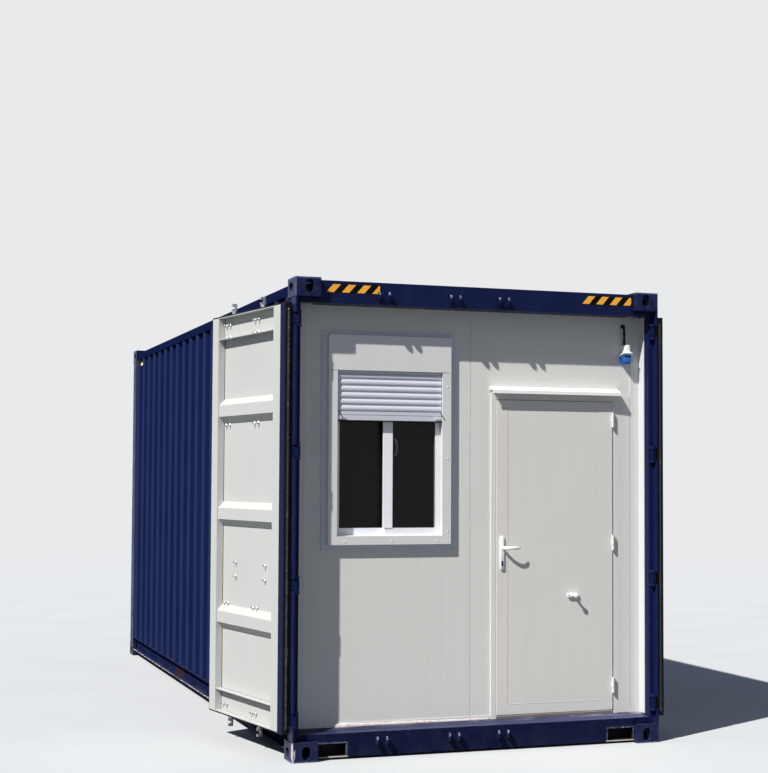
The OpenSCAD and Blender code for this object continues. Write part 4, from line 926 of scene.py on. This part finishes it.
def sealant_bead(stations, radii, y, z):
    """A bead along X: its radius is drawn between stations and waved by
    1 + 0.10 sin(x / 77) + 0.07 sin(x / 27 + 1) + 0.04 sin(x / 11)."""
    x = np.arange(stations[0], stations[-1], 9.0)
    wave = 1 + 0.10 * np.sin(x / 77) + 0.07 * np.sin(x / 27 + 1) + 0.04 * np.sin(x / 11)
    path = np.column_stack([x, y + 1.2 * np.sin(x / 61), np.full_like(x, z)])
    return tube(path, np.interp(x, stations, radii) * wave, sides=10, squeeze=1.5)


bead = sealant_bead(BEAD_STATIONS, BEAD_RADII, BEAD_Y, BEAD_Z)
mesh_piece("sill_sealant", bead, sealant, "shell", smooth=True)

# %% [markdown]
# The entrance door's lever bows out of its backplate and back towards the leaf: its middle
# line is a curve in plan, and its section is a flat oval. A straight bar with a bend would be
# simpler, but the real one has no straight stretch.

# %% Lever
LEVER_X, LEVER_Z, LEAF_FACE, PLATE_FRONT = 193.0, 1248.0, -2858.0, -2867.0
NECK = [(9.5, 0.0), (9.5, 8.0), (8.0, 9.5)]


def lever_line(t):
    """The lever's middle line: 110 t^1.7 sideways, and 52 (1 - (1 - t)^3) - 15 t^5 out."""
    sideways = 110 * t ** 1.7
    out = 52 * (1 - (1 - t) ** 3) - 15 * t ** 5
    return np.column_stack([LEVER_X + sideways, PLATE_FRONT + 4 - out, np.full_like(t, LEVER_Z)])


t = np.linspace(0, 1, 27)
lever_radius = np.interp(t, (0, 0.9, 0.96, 1), (6.2, 5.0, 4.2, 1.6))
grip = tube(lever_line(t), lever_radius, sides=16, squeeze=2.0)
neck = copied(turned(NECK, 24), (LEVER_X, PLATE_FRONT + 1, LEVER_Z))
lever = mesh_piece("curved_lever", joined(grip, neck), furniture_white, "lever", smooth=True)
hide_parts("door_lever")

# %% [markdown]
# The backplate is a narrow strip of coated aluminium with round ends. Lower on the leaf sits
# its holder, a pad with a short arm that ends in a button. The slot of the lock cylinder and a
# screw hole in the holder are thin dark pads: painted shade.

# %% Backplate and holder
HOLDER_X, HOLDER_Z, KEYHOLE_Z = 684.0, 938.0, 1149.0
ARM = [(10.0, 0.0), (8.5, 16.0), (8.5, 34.0)]
BUTTON = [(11.0, 0.0), (15.0, 2.0), (15.5, 7.0), (12.0, 10.0)]

plate = copied(pad(30, 218, 9, 14.9, 2.0), (LEVER_X - 2, LEAF_FACE, LEVER_Z - 33))
holder_pad = copied(pad(80, 30, 13, 13.0, 3.0), (HOLDER_X, LEAF_FACE, HOLDER_Z))
arm = copied(turned(ARM, 20), (HOLDER_X + 8, LEAF_FACE - 10, HOLDER_Z))
button = copied(turned(BUTTON, 24), (HOLDER_X + 8, LEAF_FACE - 42, HOLDER_Z))
furniture = mesh_piece(
    "backplate_and_holder", joined(plate, holder_pad, arm, button), furniture_white,
    "entrance", smooth=True)
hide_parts("door_furniture")

# Painted shade: thin dark pads stand for the keyhole and a screw hole.
keyhole = copied(pad(12, 33, 1.0, 5.9, 0.3), (LEVER_X - 1, PLATE_FRONT, KEYHOLE_Z))
screw_hole = turned([(4.0, 0.0), (4.0, 0.8)], 12)
screw_hole = copied(screw_hole, (HOLDER_X - 30, LEAF_FACE - 13, HOLDER_Z + 2))
mesh_piece("keyhole_and_screw_hole_shade", joined(keyhole, screw_hole), rubber, "entrance")

# %% [markdown]
# A pale seal lies in the gap round the leaf, a strip of hardwood closes the gap between the
# leaf's foot and the sill, and thin beads line the panel's joint. A folded cover sheet slopes
# from the frame's front down to the wall's corner trim.

# %% Door seal and threshold
LEAF_LEFT, LEAF_RIGHT, LEAF_FOOT, LEAF_TOP = 156.0, 968.0, 197.0, 2187.0
LEAF_MIDDLE, LEAF_WIDTH = (LEAF_LEFT + LEAF_RIGHT) / 2, LEAF_RIGHT - LEAF_LEFT
SEAL_Y, HINGE_SEAL_Y, FOOT_Y, SEAL_RADIUS = -2849.0, -2838.0, -2850.0, 2.4
PANEL_LEFT, PANEL_RIGHT, PANEL_FOOT, PANEL_TOP = 234.0, 874.0, 261.0, 2123.0
COVER_FROM, COVER_TO, COVER_FOOT, COVER_TOP, WALL_Y = 1003.8, 1100.0, 174.0, 2232.0, -2844.0
sheet = sheet_finishes["entrance_paint"]


def seal_along(start, end, sides=8):
    """A straight round bead from one point to another."""
    return tube([start, end], SEAL_RADIUS, sides=sides)


latch_side = seal_along((LEAF_LEFT - 3, SEAL_Y, LEAF_FOOT), (LEAF_LEFT - 3, SEAL_Y, LEAF_TOP))
head = seal_along((LEAF_LEFT, SEAL_Y, LEAF_TOP + 3), (LEAF_RIGHT, SEAL_Y, LEAF_TOP + 3))
pale_seal = moulded_plastic("pale_door_seal", "#C9C8C4", roughness=0.6, gloss=0.2)
mesh_piece("door_gap_seal", joined(latch_side, head), pale_seal, "shell")
hinge_side = seal_along(
    (LEAF_RIGHT + 3, HINGE_SEAL_Y, LEAF_FOOT), (LEAF_RIGHT + 3, HINGE_SEAL_Y, LEAF_TOP))
mesh_piece("hinge_gap_seal", hinge_side, rubber, "shell")

threshold_wood = mottled(
    "weathered_threshold", "#655B57", "#8B817B", (8, 0.3, 0.7, 5.0, 1.0, (0.06, 1.0, 1.0)),
    None, 0.7, 0.2)
strip = copied(pad(LEAF_WIDTH + 4, 14, 6, 0.5, 0.4), (LEAF_MIDDLE, FOOT_Y, 179))
mesh_piece("threshold_strip", strip, threshold_wood, "shell")
sweep = copied(pad(LEAF_WIDTH, 9.5, 5, 0.5, 0.4), (LEAF_MIDDLE, FOOT_Y, 192.5))
mesh_piece("door_sweep", sweep, sheet, "entrance")

bead_y = LEAF_FACE + 1.4
upright = seal_along((PANEL_RIGHT, bead_y, PANEL_FOOT), (PANEL_RIGHT, bead_y, PANEL_TOP), 10)
foot_bead = seal_along((PANEL_LEFT, bead_y, PANEL_FOOT), (PANEL_RIGHT, bead_y, PANEL_FOOT), 10)
mesh_piece("panel_beads", joined(upright, foot_bead), sheet, "entrance")

section = [
    (COVER_FROM, WALL_Y - 7.8), (COVER_TO, WALL_Y - 4.0),
    (COVER_TO, WALL_Y + 0.5), (COVER_FROM, WALL_Y + 0.5)]
cover_rings = [[(x, y, level) for x, y in section] for level in (COVER_FOOT, COVER_TOP)]
mesh_piece("frame_cover", stacked(cover_rings), sheet_finishes["door_frame_paint"], "shell")

# %% [markdown]
# The window's panes sit in black glazing gaskets, a narrow band that frames each pane, and a
# cover strip hides where the two sashes meet.

# %% Panes and meeting stile
PANE_FOOT, PANE_TOP = 1379.0, 2272.0
PANES = (((-873.0, -586.5), -2804.0), ((-541.5, -255.0), -2832.0))
STILE_PLACE = (-568.5, -2838.0, 1825.5)


def gasket_frame(x, z, y, width=5.0, out=2.0):
    """A flat rectangular band just outside the pane: outer and inner outlines at two depths."""
    outer = np.array([(x[0], z[0]), (x[1], z[0]), (x[1], z[1]), (x[0], z[1])], float)
    inner = outer + np.array([(1, 1), (-1, 1), (-1, -1), (1, -1)]) * width
    levels = ((outer, y), (outer, y - out), (inner, y - out), (inner, y))
    rings = [np.column_stack([ring[:, 0], np.full(4, level), ring[:, 1]]) for ring, level in levels]
    return np.concatenate(rings), [grid_quads(4, 4, close_rows=True, close_columns=True)]


gaskets = joined(*[gasket_frame(x, (PANE_FOOT, PANE_TOP), y) for x, y in PANES])
mesh_piece("glazing_gaskets", gaskets, rubber, "shell")
stile = copied(pad(64, PANE_TOP - PANE_FOOT, 4.5, 3.0, 1.5), STILE_PLACE)
mesh_piece("meeting_stile", stile, moulded_plastic("rigid_pvc_stile", "#F6F7FB"), "shell")

# %% [markdown]
# Thin dark strips are painted shade: two grooves across the bar, the slanted stops beside it,
# and the seam under the case's edge; a dark strip lies along the bar's foot. White screws hold
# the surround's front, three along its foot and three down its right side. Behind the pane,
# one sash has a curved handle.

# %% Shutter shade lines, screws and handle
BAR_X, BAR_FRONT, CASSETTE_FRONT = -555.5, -2869.0, -2882.0
STOPS = ((-893.0, -871.0), (-236.0, -205.0))
SCREW = [(5.0, 0.0), (5.0, 1.0), (3.6, 2.4), (1.2, 3.0)]
HANDLE_PLACE = (-512.0, -2795.0, 1880.0)


def handle_line(turn):
    """Half an ellipse standing upright: 24 and 18 times sin of the turn out, 50 times cos up."""
    x, y, z = HANDLE_PLACE
    return np.column_stack([x + 24 * np.sin(turn), y + 18 * np.sin(turn), z - 50 * np.cos(turn)])


# Painted shade in the bar's grooves, beside the stops and under the case's edge.
thin_line = pad(690, 1.6, 0.6, 0.5, 0.2)
bar_groove_shade = copied(thin_line, [(BAR_X, BAR_FRONT, z) for z in (2100, 2076)])
bar_gap = copied(pad(694, 7, 9, 1.0, 0.5), (BAR_X, BAR_FRONT + 4, 2040))
stop_shadows = [tube([(x0, -2883, 2095), (x1, -2883, 2051)], 2.6) for x0, x1 in STOPS]
case_shadow_line = copied(pad(772, 2.2, 0.6, 0.5, 0.2), (-564.0, CASSETTE_FRONT, 2349.0))
mesh_piece("shutter_shade_lines", joined(bar_groove_shade, bar_gap, *stop_shadows, case_shadow_line), rubber, "shell")

foot_screws = [(x, CASSETTE_FRONT, 1297.0) for x in (-857, -554, -257)]
side_screws = [(-186.0, CASSETTE_FRONT, z) for z in (2262, 1812, 1356)]
screws = copied(turned(SCREW, 12), foot_screws + side_screws)
mesh_piece("cassette_screws", screws, furniture_white, "shell", smooth=True)
handle = tube(handle_line(np.linspace(0, np.pi, 15)), 7.0, sides=10)
mesh_piece("window_handle", handle, furniture_white, "shell", smooth=True)

# %% [markdown]
# The supply lead leaves the wall through a flat oval gland and ends in the inlet's white hood.
# The hood narrows from a wide rim, which slopes down towards the wall, to a neck. Under it
# hangs the blue lid: a crowned cover on its pin. Both are lofted through rounded rectangles.

# %% Power inlet
INLET_X, HOOD_Z, LID_Y, LID_Z = 1059.0, 2500.0, -2893.3, 2488.0
HOOD_LEVELS = [
    (-12, 34.5, 0, -69, 7, 0.27), (-11, 36, 0, -71, 8, 0.27), (-6, 36, 0, -71, 8, 0.27),
    (-4, 34.5, 0, -69.5, 8, 0.25), (6, 27, 0, -65, 8, 0.17), (14, 23.5, 0, -64, 8, 0.10),
    (30, 21, 0, -63.5, 8, 0.04), (60, 18, 0, -63, 8, 0.0), (64.5, 17, 0, -61.5, 8, 0.0),
    (66, 14, -2, -58, 7, 0.0)]
LID_LEVELS = [
    (-48, 18, 3, -8, 3, 0.0), (-46.5, 20, 4.5, -11, 4, 0.0), (-40, 22.5, 5, -13, 5, 0.0),
    (-25, 26, 5, -14, 5, 0.0), (-14, 28.5, 5, -12.5, 5, 0.0), (-9, 27, 5, -10.5, 4, 0.0),
    (-7, 21, 5, -9.5, 3, 0.0), (0, 20, 5, -6.5, 3, 0.0), (3.5, 19, 2.5, -3, 2, 0.0)]


def lofted(levels, x, y0, z0):
    """Rounded rectangles at (z, half width, back, front, radius, slope): a point's z rises by
    slope · depth."""
    rings = []
    for z, half, back, front, radius, slope in levels:
        outline = rounded_rectangle(2 * half, back - front, radius)
        y = outline[:, 1] + (back + front) / 2
        rings.append(np.column_stack([x + outline[:, 0], y0 + y, z0 + z - slope * y]))
    return stacked(rings)


inlet_white, inlet_blue = plastic_finishes["inlet_white"], plastic_finishes["inlet_blue"]
hood_shape = lofted(HOOD_LEVELS, INLET_X, WALL_Y, HOOD_Z)
hood = mesh_piece("lofted_hood", hood_shape, inlet_white, "shell", smooth=True)
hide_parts("inlet_hood")
lid_shape = lofted(LID_LEVELS, INLET_X, LID_Y, LID_Z)
lid = mesh_piece("crowned_lid", lid_shape, inlet_blue, "lid", smooth=True)
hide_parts("inlet_lid")

flange_and_nose = joined(pad(34, 19, 5, 9.0, 1.0), pad(26, 15, 14, 7.0, 2.0))
mesh_piece("cable_gland", copied(flange_and_nose, (1053.0, WALL_Y, 2690.0)), rubber, "shell")

# %% [markdown]
# Frames like this one are welded, and the seams show as slightly raised lines where the posts,
# the header and the sill meet the castings. A weld bead is a thin tube with fine ripples,
# painted with the steel.

# %% Weld beads
POST_SEAM_Y, POST_SEAM_X = -2969, (1172, 1215)
LOWER_CASTING_TOP, UPPER_CASTING_FOOT, CASTING_SIDE = 118, (2778, 2780), 1057


def weld(path_ends, radius=3.2, ripple=7.0):
    """A bead from end to end: radius (1 + 0.15 sin(2 pi s / ripple)), s the length along it."""
    start, end = np.asarray(path_ends, float)
    length = np.linalg.norm(end - start)
    s = np.linspace(0, 1, max(int(length / ripple * 3), 4))
    path = start + (end - start) * s[:, None]
    return tube(path, radius * (1 + 0.15 * np.sin(2 * np.pi * s * length / ripple)), sides=6)


casting_seams = [
    [(x, POST_SEAM_Y, LOWER_CASTING_TOP) for x in POST_SEAM_X],
    [(x, POST_SEAM_Y, UPPER_CASTING_FOOT[0]) for x in POST_SEAM_X],
    [(CASTING_SIDE, FRONT_PLANE, z) for z in (LOWER_CASTING_TOP, 30)],
    [(CASTING_SIDE, FRONT_PLANE, z) for z in (UPPER_CASTING_FOOT[1], 2882)],
]
both_sides = [np.array(ends) * (side, 1, 1) for ends in casting_seams for side in (-1, 1)]
welds = joined(*[weld(ends) for ends in both_sides])
mesh_piece("casting_welds", welds, navy_finishes["frame_paint"], "shell", smooth=True)
